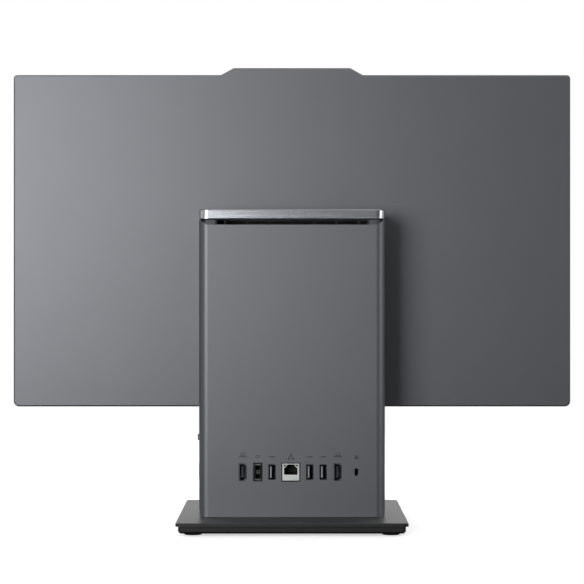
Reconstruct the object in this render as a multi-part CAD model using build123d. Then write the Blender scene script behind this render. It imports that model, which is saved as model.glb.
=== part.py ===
from build123d import *
import os
from math import atan2, tan

# An all-in-one desktop computer. A thin display tilts on a hinge in front of an upright column that
# holds the computer, and the column stands on a flat steel base.
#
# Frame: the origin is under the middle of the base, on the table. +Z is up, the screen faces -Y and
# the rear ports face +Y, so the user's right hand is on +X. All lengths are in millimetres.

# ---- Base -----------------------------------------------------------------------------------------
BASE_WIDTH, BASE_DEPTH, BASE_CORNER = 212.0, 190.0, 5.0
FOOT_RADIUS, FOOT_HEIGHT = 8.0, 2.1
FOOT_X, FOOT_Y = 90.4, 79.0
TRAY_INSET, TRAY_HEIGHT, TRAY_WALL, TRAY_BEVEL = 2.4, 6.6, 2.0, 1.8
PLATE_THICK, PLATE_EDGE = 3.2, 0.6
BASE_SCREW_X, BASE_SCREW_Y, BASE_SCREW_RADIUS = 60.0, (6.0, 34.0), 2.0

# ---- Column ---------------------------------------------------------------------------------------
COLUMN_WIDTH, COLUMN_FRONT, COLUMN_REAR, COLUMN_TOP = 173.8, -10.0, 48.0, 289.0
COLUMN_WALL, REAR_CORNER, FRONT_CORNER = 2.4, 8.5, 4.0
SEAM_Y, SEAM_GAP, LIP_THICK, LIP_REACH = -4.0, 0.3, 1.2, 6.2
BAND_HEIGHT, BAND_THICK, BAND_EDGE = 9.6, 3.0, 1.0
RECESS_DEPTH, RECESS_HALF, SLOT_HALF = 4.8, 79.0, 70.0
COVER_SCREW_X, COVER_SCREW_Z, COVER_SCREW_RADIUS = 78.0, (44.0, 262.0), 1.4
BOSS_RADIUS, BOSS_LENGTH, BOSS_WEB = 3.2, 12.0, 2.0
NECK_INSET, NECK_FRONT, NECK_BOTTOM, NECK_WALL = 3.7, 2.0, 268.0, 2.0
NECK_RIB_PITCH, NECK_RIB_THICK = 20.8, 1.4

# ---- Ports in the rear wall: X of each port's middle; their long sides stand upright --------------
PORT_Z = 53.7
HDMI_X = (45.8, -42.6)
POWER_X, ETHERNET_X, LOCK_X = 31.8, 1.1, -60.0
USB_X = (18.6, -16.6, -29.0)
PORT_FACE = COLUMN_REAR - 0.5
PORT_FIT, SHELL_WALL, SHELL_CORNER = 0.3, 0.5, 0.6
USB_WIDTH, USB_HEIGHT = 6.0, 13.6
HDMI_WIDTH, HDMI_HEIGHT, HDMI_CUT = 6.8, 15.8, 2.2
POWER_WIDTH, POWER_HEIGHT = 8.0, 16.8
POWER_MOUTH_WIDTH, POWER_MOUTH_HEIGHT, POWER_MOUTH_DEPTH = 4.6, 11.2, 11.0
ETHERNET_SIZE = 15.8
LOCK_HEIGHT, LOCK_WIDTH = 7.3, 3.6

# ---- Controls and ports in the side wall on +X ----------------------------------------------------
SIDE_Y = 25.2
BUTTON_Z, JACK_Z, SIDE_USB_C_Z, SIDE_USB_A_Z = 84.9, 74.6, 65.6, 53.2
BUTTON_LENGTH, BUTTON_WIDTH, BUTTON_SHOW, BUTTON_BACK = 12.0, 5.4, 1.7, 82.2
SIDE_USB_WIDTH, SIDE_USB_HEIGHT = 6.0, 14.0
USB_C_LENGTH, USB_C_WIDTH = 9.0, 3.3
JACK_BORE, JACK_BARREL, JACK_BODY_X, JACK_DEPTH = 1.8, 2.6, (71.0, 83.6), 14.0

# ---- Computer inside the column -------------------------------------------------------------------
BOARD_Y = (28.4, 30.0)
BOARD_HALF, BOARD_Z = 78.0, (18.0, 240.0)
POST_PLACES = ((70.0, 26.0), (-70.0, 26.0), (70.0, 232.0), (-70.0, 232.0), (0.0, 118.0))
POST_RADIUS, BOARD_SCREW_RADIUS, BOARD_SCREW_LENGTH = 3.0, 1.3, 9.0
MEMORY_Z, MEMORY_X = (75.0, 111.0), (-72.0, -4.0)
CPU_X, CPU_Z, CPU_SIZE = 27.0, 152.0, 37.5
PIPE_Y, PIPE_WIDTH, PIPE_BEND = (17.4, 20.4), 8.0, 22.0
FAN_X, FAN_Z, FAN_RADIUS = -35.0, 193.0, 32.0
FAN_Y, FAN_WALL, AXLE_RADIUS = (3.0, 16.5), 1.5, 1.5
HUB_RADIUS, BLADES, BLADE_THICK = 13.0, 9, 1.0
FIN_Z, FIN_HALF, FIN_PITCH, FIN_THICK = (250.0, 267.5), 65.0, 5.2, 0.7

# ---- Display --------------------------------------------------------------------------------------
PANEL_WIDTH, PANEL_BOTTOM, PANEL_TOP = 541.4, 110.0, 432.4
PANEL_FRONT, PANEL_REAR = -44.0, -28.0
PANEL_WALL, PANEL_EDGE, RIB_THICK = 2.0, 1.3, 1.6
TOP_CORNER, LOWER_CORNER = 3.5, 5.5
BUMP_HEIGHT, BUMP_CROWN, BUMP_FOOT, BUMP_BLEND = 6.8, 56.7, 68.9, 4.0
FRAME_Y = (-42.0, -38.0)
MODULE_WIDTH, MODULE_Z, MODULE_BACK = 532.0, (127.0, 427.8), -35.0
SCREEN_WIDTH, TOP_BORDER, CHIN_TOP = 527.0, 7.0, 128.4
CONVERTER_Y, CONVERTER_Z = (-33.8, -32.2), (134.0, 170.0)
SPEAKER_X, SPEAKER_WIDTH, SPEAKER_TOP = 163.0, 84.0, 126.0
SPEAKER_SLOTS, SPEAKER_LENGTH, SPEAKER_PITCH = 6, 8.0, 11.4
CAMERA_Z, CAMERA_WINDOW, CAMERA_BOARD_Y = 433.0, 2.6, (-38.5, -37.5)
SHUTTER_X, SHUTTER_TRAVEL = 16.0, 8.0

# ---- Tilt hinge -----------------------------------------------------------------------------------
HINGE_Y, HINGE_Z = -19.0, 268.0
SHAFT_RADIUS, KNUCKLE_RADIUS, RUNNING_FIT = 4.0, 7.0, 0.05
KNUCKLE_X, LUG_X = (10.0, 20.0), (20.7, 28.0)
HINGE_PLATE_WIDTH, HINGE_PLATE_HEIGHT = 62.0, 23.0
HINGE_SCREW_X, HINGE_SCREW_Z, HINGE_SCREW_RADIUS = 16.0, 8.0, 1.5
BRACKET_HALF_X, BRACKET_Z, BRACKET_CORNER = 47.6, (234.4, 301.6), 3.0
BRACKET_SCREW_X, BRACKET_SCREW_INSET, BRACKET_SCREW_RADIUS = 40.0, 8.0, 1.8

# ---- Worked out -----------------------------------------------------------------------------------
TRAY_Z = (FOOT_HEIGHT, FOOT_HEIGHT + TRAY_HEIGHT)
PLATE_Z = (TRAY_Z[1], TRAY_Z[1] + PLATE_THICK)
FLOOR = PLATE_Z[1]
BAND_TOP = COLUMN_TOP + BAND_HEIGHT
SIDE = COLUMN_WIDTH / 2
INNER_SIDE = SIDE - COLUMN_WALL
INNER_FRONT, INNER_REAR = COLUMN_FRONT + COLUMN_WALL, COLUMN_REAR - COLUMN_WALL
STEEL = 2.5
WEB_Y = (INNER_FRONT + 0.2, INNER_FRONT + 0.2 + STEEL)
HINGE_PLATE_Y = (COLUMN_FRONT - 0.5, WEB_Y[0])
BRACKET_Y = (PANEL_REAR - STEEL, PANEL_REAR)
BRACKET_MIDDLE, BRACKET_HEIGHT = sum(BRACKET_Z) / 2, BRACKET_Z[1] - BRACKET_Z[0]
CABLE_HOLE_Z, CABLE_HOLE_WIDTH, CABLE_HOLE_HEIGHT = BRACKET_MIDDLE - 20.0, 30.0, 12.0
PAD_Y = (BRACKET_Y[0] - 4.0, PANEL_REAR - PANEL_WALL)
BEZEL_Y, BEZEL_EDGE = (PANEL_FRONT, FRAME_Y[0]), 0.5
SCREEN_TOP = PANEL_TOP - TOP_BORDER
COVER_FLOOR = PANEL_REAR - PANEL_WALL
SHELL_Y = (BOARD_Y[1], PORT_FACE)
BLADE_Y = (-41.65, -41.05)
LENS_FRONT = BLADE_Y[1] + 0.35
BEYOND, SUNK = 1.0, 0.4
POST_SIDES, SMALL_SIDES, END_SIDES, WASHER_SIDES, ROUND_SIDES = 6, 8, 12, 16, 20


# ---- Shape helpers --------------------------------------------------------------------------------
def about(middle, size):
    """The low and high ends of a size about its middle."""
    return (middle - size / 2, middle + size / 2)


def block(x, y, z):
    """A box between the low and high ends given for each axis."""
    spans = (x, y, z)
    middle = [(low + high) / 2 for low, high in spans]
    size = [high - low for low, high in spans]
    return Pos(*middle) * Box(*size)


def rod(radius, start, direction, length):
    """A cylinder that leaves a start point along a direction."""
    return extrude(Plane(start, z_dir=direction) * Circle(radius), length)


def stud(radius, start, direction, length, sides=SMALL_SIDES):
    """A many-sided rod for screws, posts and the holes that they fill."""
    return extrude(Plane(start, z_dir=direction) * RegularPolygon(radius, sides), length)


def clipped(width, height, cut):
    """A rectangle with its four corners cut off."""
    return chamfer(Rectangle(width, height).vertices(), cut)


def pill(width, height):
    """A rectangle whose longer way ends in two half-rounds, each in flat steps."""
    short, reach = min(width, height), abs(width - height) / 2
    along = (1, 0) if width > height else (0, 1)
    middle = Rectangle(width - short * along[0], height - short * along[1])
    end = RegularPolygon(short / 2, END_SIDES)
    return middle + [Pos(side * reach * along[0], side * reach * along[1]) * end for side in (-1, 1)]


def raised(outline, z):
    """An outline in X and Y given its height along Z."""
    return extrude(Plane.XY.offset(z[0]) * outline, z[1] - z[0])


def upright(outline, y):
    """An outline in X and Z given its depth along Y."""
    return extrude(Plane.XZ.offset(-y[1]) * outline, y[1] - y[0])


def sideways(outline, x):
    """An outline in Y and Z given its width along X."""
    return extrude(Plane.YZ.offset(x[0]) * outline, x[1] - x[0])


def polygon(*points):
    """A face bounded by straight lines through the points."""
    return make_face(Polyline(*points, close=True))


def both_sides(shape):
    """A shape and its mirror image across the middle of the object."""
    return Part() + [shape, mirror(shape, about=Plane.YZ)]


def union(shapes):
    """Several shapes as one, or as one group where they stand apart."""
    return Part() + list(shapes)


# ---- Outlines that several pieces share -----------------------------------------------------------
def column_plan(inset=0.0):
    """The column in plan, drawn in by an inset: large rear corners and small front ones."""
    side, front, rear = SIDE - inset, COLUMN_FRONT + inset, COLUMN_REAR - inset
    corners = ((-side, front), (side, front), (side, rear), (-side, rear))
    front_round, rear_round = max(FRONT_CORNER - inset, 0.5), max(REAR_CORNER - inset, 0.5)
    rounds = (front_round, front_round, rear_round, rear_round)
    return make_face(FilletPolyline(*corners, radius=rounds, close=True))


def panel_outline(inset=0.0):
    """The display in X and Z, drawn in by an inset, with the raised camera bump at its top."""
    side, low, top = PANEL_WIDTH / 2 - inset, PANEL_BOTTOM + inset, PANEL_TOP - inset
    lean = inset * tan(atan2(BUMP_HEIGHT, BUMP_FOOT - BUMP_CROWN) / 2)
    foot, crown = BUMP_FOOT - lean, BUMP_CROWN - lean
    lower_round, top_round = max(LOWER_CORNER - inset, 0.5), max(TOP_CORNER - inset, 0.5)
    half = (
        ((side, low), lower_round),
        ((side, top), top_round),
        ((foot, top), BUMP_BLEND),
        ((crown, top + BUMP_HEIGHT), BUMP_BLEND),
    )
    other_half = [((-x, z), corner_round) for (x, z), corner_round in reversed(half)]
    corners, rounds = zip(*half, *other_half)
    return make_face(FilletPolyline(*corners, radius=rounds, close=True))


def hdmi_outline(width, height):
    """An upright HDMI outline in X and Z: the two corners on -X are cut off."""
    x, z, low = width / 2, height / 2, HDMI_CUT - height / 2
    return polygon((x, -z), (x, z), (HDMI_CUT - x, z), (-x, -low), (-x, low), (HDMI_CUT - x, -z))


def ethernet_opening():
    """The keyed mouth of the network socket: its shoulders slope up to the latch's step on top."""
    side, low, top = 6.25, -2.5, 7.0
    half = ((side, low), (side, 3.7), (4.6, 4.7), (2.9, top))
    corners = [*half, *((-across, up) for across, up in reversed(half))]
    return Pos(ETHERNET_X, PORT_Z) * polygon(*corners)


# ---- Base -----------------------------------------------------------------------------------------
def base_screw_places():
    """Where the four screws between base plate and bracket stand."""
    return [(x, y) for x in (-BASE_SCREW_X, BASE_SCREW_X) for y in BASE_SCREW_Y]


def base_tray():
    """The moulded under-tray: a shallow dish with ribs, and holes for a screwdriver."""
    width, depth = BASE_WIDTH - 2 * TRAY_INSET, BASE_DEPTH - 2 * TRAY_INSET
    dish = raised(RectangleRounded(width, depth, BASE_CORNER - 1), TRAY_Z)
    dish = chamfer(dish.faces().sort_by(Axis.Z)[0].edges(), TRAY_BEVEL)
    inside = (TRAY_Z[0] + TRAY_WALL, TRAY_Z[1])
    dish -= raised(Rectangle(width - 2 * TRAY_WALL, depth - 2 * TRAY_WALL), inside)
    reach_x, reach_y = width / 2 - TRAY_WALL, depth / 2 - TRAY_WALL
    dish += [block((-reach_x, reach_x), about(y, RIB_THICK), inside) for y in (-48, 48)]
    dish += [block(about(x, RIB_THICK), (-reach_y, reach_y), inside) for x in (-34, 34)]
    dish -= [stud(5.5, (x, y, TRAY_Z[0]), (0, 0, 1), TRAY_HEIGHT) for x, y in base_screw_places()]
    return dish


def rubber_feet():
    """Four round feet stuck under the tray's corners."""
    rear = both_sides(stud(FOOT_RADIUS, (FOOT_X, FOOT_Y, 0), (0, 0, 1), FOOT_HEIGHT, ROUND_SIDES))
    return union((rear, mirror(rear, about=Plane.XZ)))


def base_plate():
    """The steel plate on top of the tray, with a broken edge and four clearance holes."""
    plate = raised(RectangleRounded(BASE_WIDTH, BASE_DEPTH, BASE_CORNER), PLATE_Z)
    plate = chamfer(plate.faces().sort_by(Axis.Z)[-1].edges(), PLATE_EDGE)
    hole = BASE_SCREW_RADIUS + 0.1
    for x, y in base_screw_places():
        plate -= stud(hole, (x, y, PLATE_Z[0]), (0, 0, 1), PLATE_THICK)
    return plate


def base_screws():
    """Four screws that hold the plate up against the bracket's foot."""
    head_height, head_radius = 2.6, 4.0
    head_z = PLATE_Z[0] - head_height
    shank = FLOOR + STEEL + 2.0 - PLATE_Z[0]
    screws = []
    for x, y in base_screw_places():
        head = stud(head_radius, (x, y, head_z), (0, 0, 1), head_height)
        screws.append(head + stud(BASE_SCREW_RADIUS, (x, y, PLATE_Z[0]), (0, 0, 1), shank))
    return union(screws)


def stand_bracket():
    """The folded steel bracket that carries the hinge: web, foot and two side flanges."""
    half, web_top, foot_half, foot_rear = 45.0, 285.0, 70.0, 42.0
    web = block((-half, half), WEB_Y, (FLOOR, web_top))
    web -= upright(Pos(0, 184) * clipped(70, 92, 8), WEB_Y)
    web -= upright(Pos(0, 84) * clipped(60, 52, 8), WEB_Y)
    foot = block((-foot_half, foot_half), (WEB_Y[0], foot_rear), (FLOOR, FLOOR + STEEL))
    front, back, toe = WEB_Y[0], 2.0, 14.0
    gusset = ((front, FLOOR), (toe, FLOOR), (toe, 36), (back, 66), (back, 236), (front, 246))
    bracket = web + foot + both_sides(sideways(polygon(*gusset), (half - STEEL, half)))
    for x, y in base_screw_places():
        bracket -= stud(BASE_SCREW_RADIUS, (x, y, FLOOR), (0, 0, 1), STEEL)
    return bracket - hinge_screw_rods(HINGE_SCREW_RADIUS, WEB_Y)


# ---- Tilt hinge -----------------------------------------------------------------------------------
def hinge_screw_rods(radius, y):
    """Four rods where screws pass through the hinge's base plate."""
    heights = (HINGE_Z - HINGE_SCREW_Z, HINGE_Z + HINGE_SCREW_Z)
    places = [(x, z) for x in (-HINGE_SCREW_X, HINGE_SCREW_X) for z in heights]
    return union(stud(radius, (x, y[0], z), (0, 1, 0), y[1] - y[0]) for x, z in places)


def hinge_base():
    """The steel plate in the column's front with two lugs that hold the shaft."""
    outline = clipped(HINGE_PLATE_WIDTH, HINGE_PLATE_HEIGHT, 2)
    plate = upright(Pos(0, HINGE_Z) * outline, HINGE_PLATE_Y)
    lug = Pos(HINGE_Y, HINGE_Z) * RegularPolygon(KNUCKLE_RADIUS, ROUND_SIDES)
    reach = HINGE_PLATE_Y[0] - HINGE_Y
    lug += Pos(HINGE_Y + reach / 2, HINGE_Z) * Rectangle(reach, 2 * KNUCKLE_RADIUS)
    lug -= Pos(HINGE_Y, HINGE_Z) * RegularPolygon(SHAFT_RADIUS, WASHER_SIDES, major_radius=False)
    base = plate + both_sides(sideways(lug, LUG_X))
    return base - hinge_screw_rods(HINGE_SCREW_RADIUS, HINGE_PLATE_Y)


def hinge_shaft():
    """The shaft through lugs and knuckles, with a head on one end and a nut on the other."""
    reach, head, head_radius = LUG_X[1], 2.6, 6.2
    shaft = rod(SHAFT_RADIUS, (-reach - head, HINGE_Y, HINGE_Z), (1, 0, 0), 2 * (reach + head))
    nut = stud(head_radius, (-reach - head, HINGE_Y, HINGE_Z), (1, 0, 0), head, 6)
    return shaft + nut + stud(head_radius, (reach, HINGE_Y, HINGE_Z), (1, 0, 0), head, WASHER_SIDES)


def friction_washers():
    """A spring washer against each lug, which makes the tilt stiff."""
    rim = RegularPolygon(KNUCKLE_RADIUS - 0.6, WASHER_SIDES)
    bore = RegularPolygon(SHAFT_RADIUS + 0.1, WASHER_SIDES)
    washer = sideways(Pos(HINGE_Y, HINGE_Z) * (rim - bore), (KNUCKLE_X[1] + 0.1, LUG_X[0]))
    return both_sides(washer)


def hinge_screws():
    """Four screws from the hinge's base plate into the bracket."""
    heads = hinge_screw_rods(2.6, (HINGE_PLATE_Y[0] - 1.2, HINGE_PLATE_Y[0]))
    return heads + hinge_screw_rods(HINGE_SCREW_RADIUS, (HINGE_PLATE_Y[0], WEB_Y[1]))


def cable_hole():
    """The opening for the display's cable through its back and the bracket."""
    return Pos(0, CABLE_HOLE_Z) * clipped(CABLE_HOLE_WIDTH, CABLE_HOLE_HEIGHT, 2)


def display_bracket():
    """The plate on the display's back with two knuckles that turn on the shaft."""
    outline = clipped(2 * BRACKET_HALF_X, BRACKET_HEIGHT, BRACKET_CORNER)
    plate = upright(Pos(0, BRACKET_MIDDLE) * outline, BRACKET_Y) - upright(cable_hole(), BRACKET_Y)
    knuckle = Pos(HINGE_Y, HINGE_Z) * RegularPolygon(KNUCKLE_RADIUS, ROUND_SIDES)
    reach = HINGE_Y - PANEL_REAR
    knuckle += Pos(PANEL_REAR + reach / 2, HINGE_Z) * Rectangle(reach, 2 * KNUCKLE_RADIUS)
    bore = RegularPolygon(SHAFT_RADIUS + RUNNING_FIT, WASHER_SIDES, major_radius=False)
    knuckle -= Pos(HINGE_Y, HINGE_Z) * bore
    bracket = plate + both_sides(sideways(knuckle, KNUCKLE_X))
    return bracket - bracket_screw_rods(BRACKET_SCREW_RADIUS, BRACKET_Y)


def bracket_screw_rods(radius, y):
    """Four rods where screws hold the bracket to the display."""
    heights = (BRACKET_Z[0] + BRACKET_SCREW_INSET, BRACKET_Z[1] - BRACKET_SCREW_INSET)
    places = [(x, z) for x in (-BRACKET_SCREW_X, BRACKET_SCREW_X) for z in heights]
    return union(stud(radius, (x, y[0], z), (0, 1, 0), y[1] - y[0]) for x, z in places)


def bracket_screws():
    """Four low-headed screws through the display bracket into the rear cover's pad."""
    heads = bracket_screw_rods(3.4, (PANEL_REAR, PANEL_REAR + 1.6))
    return heads + bracket_screw_rods(BRACKET_SCREW_RADIUS, (PAD_Y[0], PANEL_REAR))


# ---- Column housing -------------------------------------------------------------------------------
def port_cuts():
    """Openings in the rear wall, each a little larger than the port that fills it."""
    grow = 2 * PORT_FIT
    outlines = [Pos(x, PORT_Z) * hdmi_outline(HDMI_WIDTH + grow, HDMI_HEIGHT + grow) for x in HDMI_X]
    outlines += [Pos(x, PORT_Z) * Rectangle(USB_WIDTH + grow, USB_HEIGHT + grow) for x in USB_X]
    outlines.append(Pos(POWER_X, PORT_Z) * Rectangle(POWER_WIDTH + grow, POWER_HEIGHT + grow))
    outlines.append(Pos(ETHERNET_X, PORT_Z) * Rectangle(ETHERNET_SIZE + grow, ETHERNET_SIZE + grow))
    outlines.append(Pos(LOCK_X, PORT_Z) * pill(LOCK_WIDTH, LOCK_HEIGHT))
    return [upright(outline, (INNER_REAR, COLUMN_REAR)) for outline in outlines]


def side_cuts():
    """Openings in the side wall for the button, the audio jack and the two sockets."""
    grow = 2 * PORT_FIT
    outlines = (
        Pos(SIDE_Y, BUTTON_Z) * pill(BUTTON_LENGTH + grow, BUTTON_WIDTH + grow),
        Pos(SIDE_Y, JACK_Z) * Circle(JACK_BARREL + PORT_FIT),
        Pos(SIDE_Y, SIDE_USB_C_Z) * pill(USB_C_WIDTH + grow, USB_C_LENGTH + grow),
        Pos(SIDE_Y, SIDE_USB_A_Z) * Rectangle(SIDE_USB_WIDTH + grow, SIDE_USB_HEIGHT + grow),
    )
    return [sideways(outline, (INNER_SIDE, SIDE)) for outline in outlines]


def cover_boss(z, y, bore, reach):
    """A screw boss on the inside of the +X side wall, joined to the wall by a web."""
    start, length = (COVER_SCREW_X, y[0], z), y[1] - y[0]
    web = block((COVER_SCREW_X, reach), y, about(z, BOSS_WEB))
    boss = stud(BOSS_RADIUS, start, (0, 1, 0), length, POST_SIDES)
    return boss + web - stud(bore, start, (0, 1, 0), length)


def column_rear_cover():
    """The moulded shell of the column: rear and side walls with their openings, bosses and posts."""
    cover = raised(column_plan() - column_plan(COLUMN_WALL), (FLOOR, COLUMN_TOP))
    cover -= block((-SIDE, SIDE), (COLUMN_FRONT, SEAM_Y), (FLOOR, COLUMN_TOP))
    low, high = COLUMN_TOP - RECESS_DEPTH, COLUMN_TOP + 0.2
    recess = polygon((-RECESS_HALF, low), (RECESS_HALF, low), (SIDE + 0.6, high), (-SIDE - 0.6, high))
    cover -= upright(recess, (COLUMN_REAR - REAR_CORNER - 1.5, COLUMN_REAR + BEYOND))
    cover -= port_cuts()
    cover -= side_cuts()
    boss_y = (SEAM_Y + LIP_REACH, SEAM_Y + LIP_REACH + BOSS_LENGTH)
    bosses = [cover_boss(z, boss_y, COVER_SCREW_RADIUS, INNER_SIDE + SUNK) for z in COVER_SCREW_Z]
    cover += both_sides(union(bosses))
    for x, z in POST_PLACES:
        foot = (x, BOARD_Y[1], z)
        post = stud(POST_RADIUS, foot, (0, 1, 0), INNER_REAR - BOARD_Y[1] + SUNK, POST_SIDES)
        cover += post - stud(BOARD_SCREW_RADIUS, foot, (0, 1, 0), BOARD_SCREW_LENGTH, POST_SIDES)
    return cover


def intake_slots():
    """Rows of cooling slots in the column's front, behind the display."""
    columns, rows, pitch_x, pitch_z, lowest = 2, 7, 54.0, 10.0, 150.0
    length, height = 46.0, 3.6
    xs = [(column - (columns - 1) / 2) * pitch_x for column in range(columns)]
    zs = [lowest + row * pitch_z for row in range(rows)]
    return [block(about(x, length), (COLUMN_FRONT, INNER_FRONT), about(z, height)) for x in xs for z in zs]


def column_front_cover():
    """The column's front shell: cooling slots, a hinge opening and a lip inside the rear cover."""
    tall = (FLOOR, COLUMN_TOP)
    cover = raised(column_plan() - column_plan(COLUMN_WALL), tall)
    cover -= block((-SIDE, SIDE), (SEAM_Y - SEAM_GAP, COLUMN_REAR), tall)
    lip = raised(column_plan(COLUMN_WALL) - column_plan(COLUMN_WALL + LIP_THICK), tall)
    lip -= block((-SIDE, SIDE), (SEAM_Y + LIP_REACH, COLUMN_REAR), tall)
    bracket_room = block((-71, 71), (INNER_FRONT, WEB_Y[1] + 3.0), tall)
    cover += lip - bracket_room
    cover -= intake_slots()
    hinge_room = clipped(HINGE_PLATE_WIDTH + 2 * PORT_FIT, HINGE_PLATE_HEIGHT + 2 * PORT_FIT, 2)
    cover -= upright(Pos(0, HINGE_Z) * hinge_room, (COLUMN_FRONT, INNER_FRONT))
    boss_y = (INNER_FRONT - SUNK, SEAM_Y + LIP_REACH)
    hole = COVER_SCREW_RADIUS + 0.2
    cover += both_sides(union(cover_boss(z, boss_y, hole, INNER_SIDE - SUNK) for z in COVER_SCREW_Z))
    for z in COVER_SCREW_Z:
        start = (COVER_SCREW_X, COLUMN_FRONT, z)
        sunk_head = stud(BOSS_RADIUS, start, (0, 1, 0), 1.2)
        cover -= both_sides(sunk_head + stud(hole, start, (0, 1, 0), COLUMN_WALL + LIP_THICK + BEYOND))
    return cover


def cover_screws():
    """Four screws that join the front cover to the rear cover's bosses."""
    head_y, head_height, head_radius, shank = COLUMN_FRONT + 0.2, 1.0, 3.0, 18.0
    screws = []
    for z in COVER_SCREW_Z:
        head = stud(head_radius, (COVER_SCREW_X, head_y, z), (0, 1, 0), head_height)
        start = (COVER_SCREW_X, head_y + head_height, z)
        screws.append(head + stud(COVER_SCREW_RADIUS, start, (0, 1, 0), shank))
    return both_sides(union(screws))


def top_band():
    """The bright metal band around the column's top, with both outer edges bevelled."""
    outer = raised(column_plan(), (COLUMN_TOP, BAND_TOP))
    flats = outer.faces().filter_by(Axis.Z)
    outer = chamfer([edge for face in flats for edge in face.edges()], BAND_EDGE)
    return outer - raised(column_plan(BAND_THICK), (COLUMN_TOP, BAND_TOP))


def top_cap():
    """The lid inside the band: a plate with a skirt that stands on the exhaust neck."""
    lid_top, plate, skirt = BAND_TOP - 0.6, 2.5, 2.5
    inset = BAND_THICK + RUNNING_FIT
    lid = raised(column_plan(inset), (COLUMN_TOP, lid_top))
    lid = chamfer(lid.faces().sort_by(Axis.Z)[-1].edges(), 0.4)
    inside = (COLUMN_TOP, lid_top - plate)
    pocket_x, pocket_y = SIDE - inset - skirt, (COLUMN_FRONT + inset + skirt, COLUMN_REAR - inset - skirt)
    lid -= block((-pocket_x, pocket_x), pocket_y, inside)
    return lid + block(about(0, RIB_THICK), pocket_y, inside)


def exhaust_neck():
    """The duct under the band: open below over the fins, with a ribbed slot in its rear wall."""
    rear, half, tall = COLUMN_REAR - NECK_INSET, SIDE - NECK_INSET, (NECK_BOTTOM, COLUMN_TOP)
    neck = raised(column_plan(NECK_INSET), tall)
    neck -= block((-SIDE, SIDE), (COLUMN_FRONT, NECK_FRONT), tall)
    inside = raised(column_plan(NECK_INSET + NECK_WALL), (NECK_BOTTOM + NECK_WALL, COLUMN_TOP))
    neck -= inside - block((-SIDE, SIDE), (COLUMN_FRONT, NECK_FRONT + NECK_WALL), tall)
    neck -= block((-FIN_HALF - 1, FIN_HALF + 1), (NECK_FRONT + NECK_WALL, PIPE_Y[0]), tall)
    slot_z = (COLUMN_TOP - RECESS_DEPTH + 0.2, COLUMN_TOP)
    neck -= block((-SLOT_HALF, SLOT_HALF), (rear - NECK_WALL, rear), slot_z)
    rib_y, rib_z = (rear - 6.0, rear - 0.8), (NECK_BOTTOM + NECK_WALL, COLUMN_TOP)
    neck += [block(about(n * NECK_RIB_PITCH, NECK_RIB_THICK), rib_y, rib_z) for n in range(-3, 4)]
    side_tab = block((half, INNER_SIDE), about(20, 10), about(278, 12))
    rear_tab = block(about(40, 10), (rear, INNER_REAR), about(276, 10))
    return neck + both_sides(side_tab) + both_sides(rear_tab)


# ---- Rear ports -----------------------------------------------------------------------------------
def rear_usb_port(x):
    """An upright USB-A shell, open at its face."""
    shell = upright(Pos(x, PORT_Z) * clipped(USB_WIDTH, USB_HEIGHT, SHELL_CORNER), SHELL_Y)
    inside = Rectangle(USB_WIDTH - 2 * SHELL_WALL, USB_HEIGHT - 2 * SHELL_WALL)
    return shell - upright(Pos(x, PORT_Z) * inside, (SHELL_Y[0] + 1, PORT_FACE))


def rear_hdmi_port(x):
    """An upright HDMI shell, its two inner corners cut."""
    shell = upright(Pos(x, PORT_Z) * hdmi_outline(HDMI_WIDTH, HDMI_HEIGHT), SHELL_Y)
    inside = hdmi_outline(HDMI_WIDTH - 2 * SHELL_WALL, HDMI_HEIGHT - 2 * SHELL_WALL)
    return shell - upright(Pos(x, PORT_Z) * inside, (SHELL_Y[0] + 1, PORT_FACE))


def usb_tongues():
    """The contact tongue inside each rear USB port, nearer to its +X wall."""
    shift, thick, height = 1.1, 1.4, 10.6
    tongue_y = (SHELL_Y[0] + 1, PORT_FACE - 1.2)
    return union(block(about(x + shift, thick), tongue_y, about(PORT_Z, height)) for x in USB_X)


def hdmi_tongues():
    """The contact tongue inside each HDMI port."""
    shift, thick, height = 0.3, 1.6, 10.8
    tongue_y = (SHELL_Y[0] + 1, PORT_FACE - 1.8)
    return union(block(about(x + shift, thick), tongue_y, about(PORT_Z, height)) for x in HDMI_X)


def ethernet_jack():
    """The sheet-metal box of the network socket, its face pierced by the keyed mouth."""
    box = block(about(ETHERNET_X, ETHERNET_SIZE), SHELL_Y, about(PORT_Z, ETHERNET_SIZE))
    inner, face = ETHERNET_SIZE - 2 * SHELL_WALL, (PORT_FACE - SHELL_WALL, PORT_FACE)
    box -= block(about(ETHERNET_X, inner), (SHELL_Y[0], face[0]), about(PORT_Z, inner))
    return box - upright(ethernet_opening(), face)


def ethernet_insert():
    """The moulded body inside the network socket: a keyed cavity over eight contact grooves."""
    size, front, depth = ETHERNET_SIZE - 2 * SHELL_WALL, PORT_FACE - SHELL_WALL, 13.0
    insert = block(about(ETHERNET_X, size), (SHELL_Y[0], front), about(PORT_Z, size))
    insert -= upright(ethernet_opening(), (front - depth, front))
    low, pitch, groove = PORT_Z - 2.5, 1.02, 0.5
    xs = [ETHERNET_X + (n - 3.5) * pitch for n in range(8)]
    return insert - [block(about(x, groove), (front - 11.0, front - 1.5), (low - 0.8, low)) for x in xs]


def power_inlet():
    """The moulded socket for the power adapter's flat plug, with a latch recess at each end."""
    face = block(about(POWER_X, POWER_WIDTH), SHELL_Y, about(PORT_Z, POWER_HEIGHT))
    mouth = (PORT_FACE - POWER_MOUTH_DEPTH, PORT_FACE)
    face -= block(about(POWER_X, POWER_MOUTH_WIDTH), mouth, about(PORT_Z, POWER_MOUTH_HEIGHT))
    latch = (PORT_FACE - 0.8, PORT_FACE)
    return face - [block(about(POWER_X, 3.4), latch, about(PORT_Z + z, 1.6)) for z in (-7.1, 7.1)]


def power_inlet_pin():
    """The contact pin in the middle of the power socket."""
    return stud(0.5, (POWER_X, PORT_FACE - POWER_MOUTH_DEPTH, PORT_Z), (0, 1, 0), 9.5)


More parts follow.
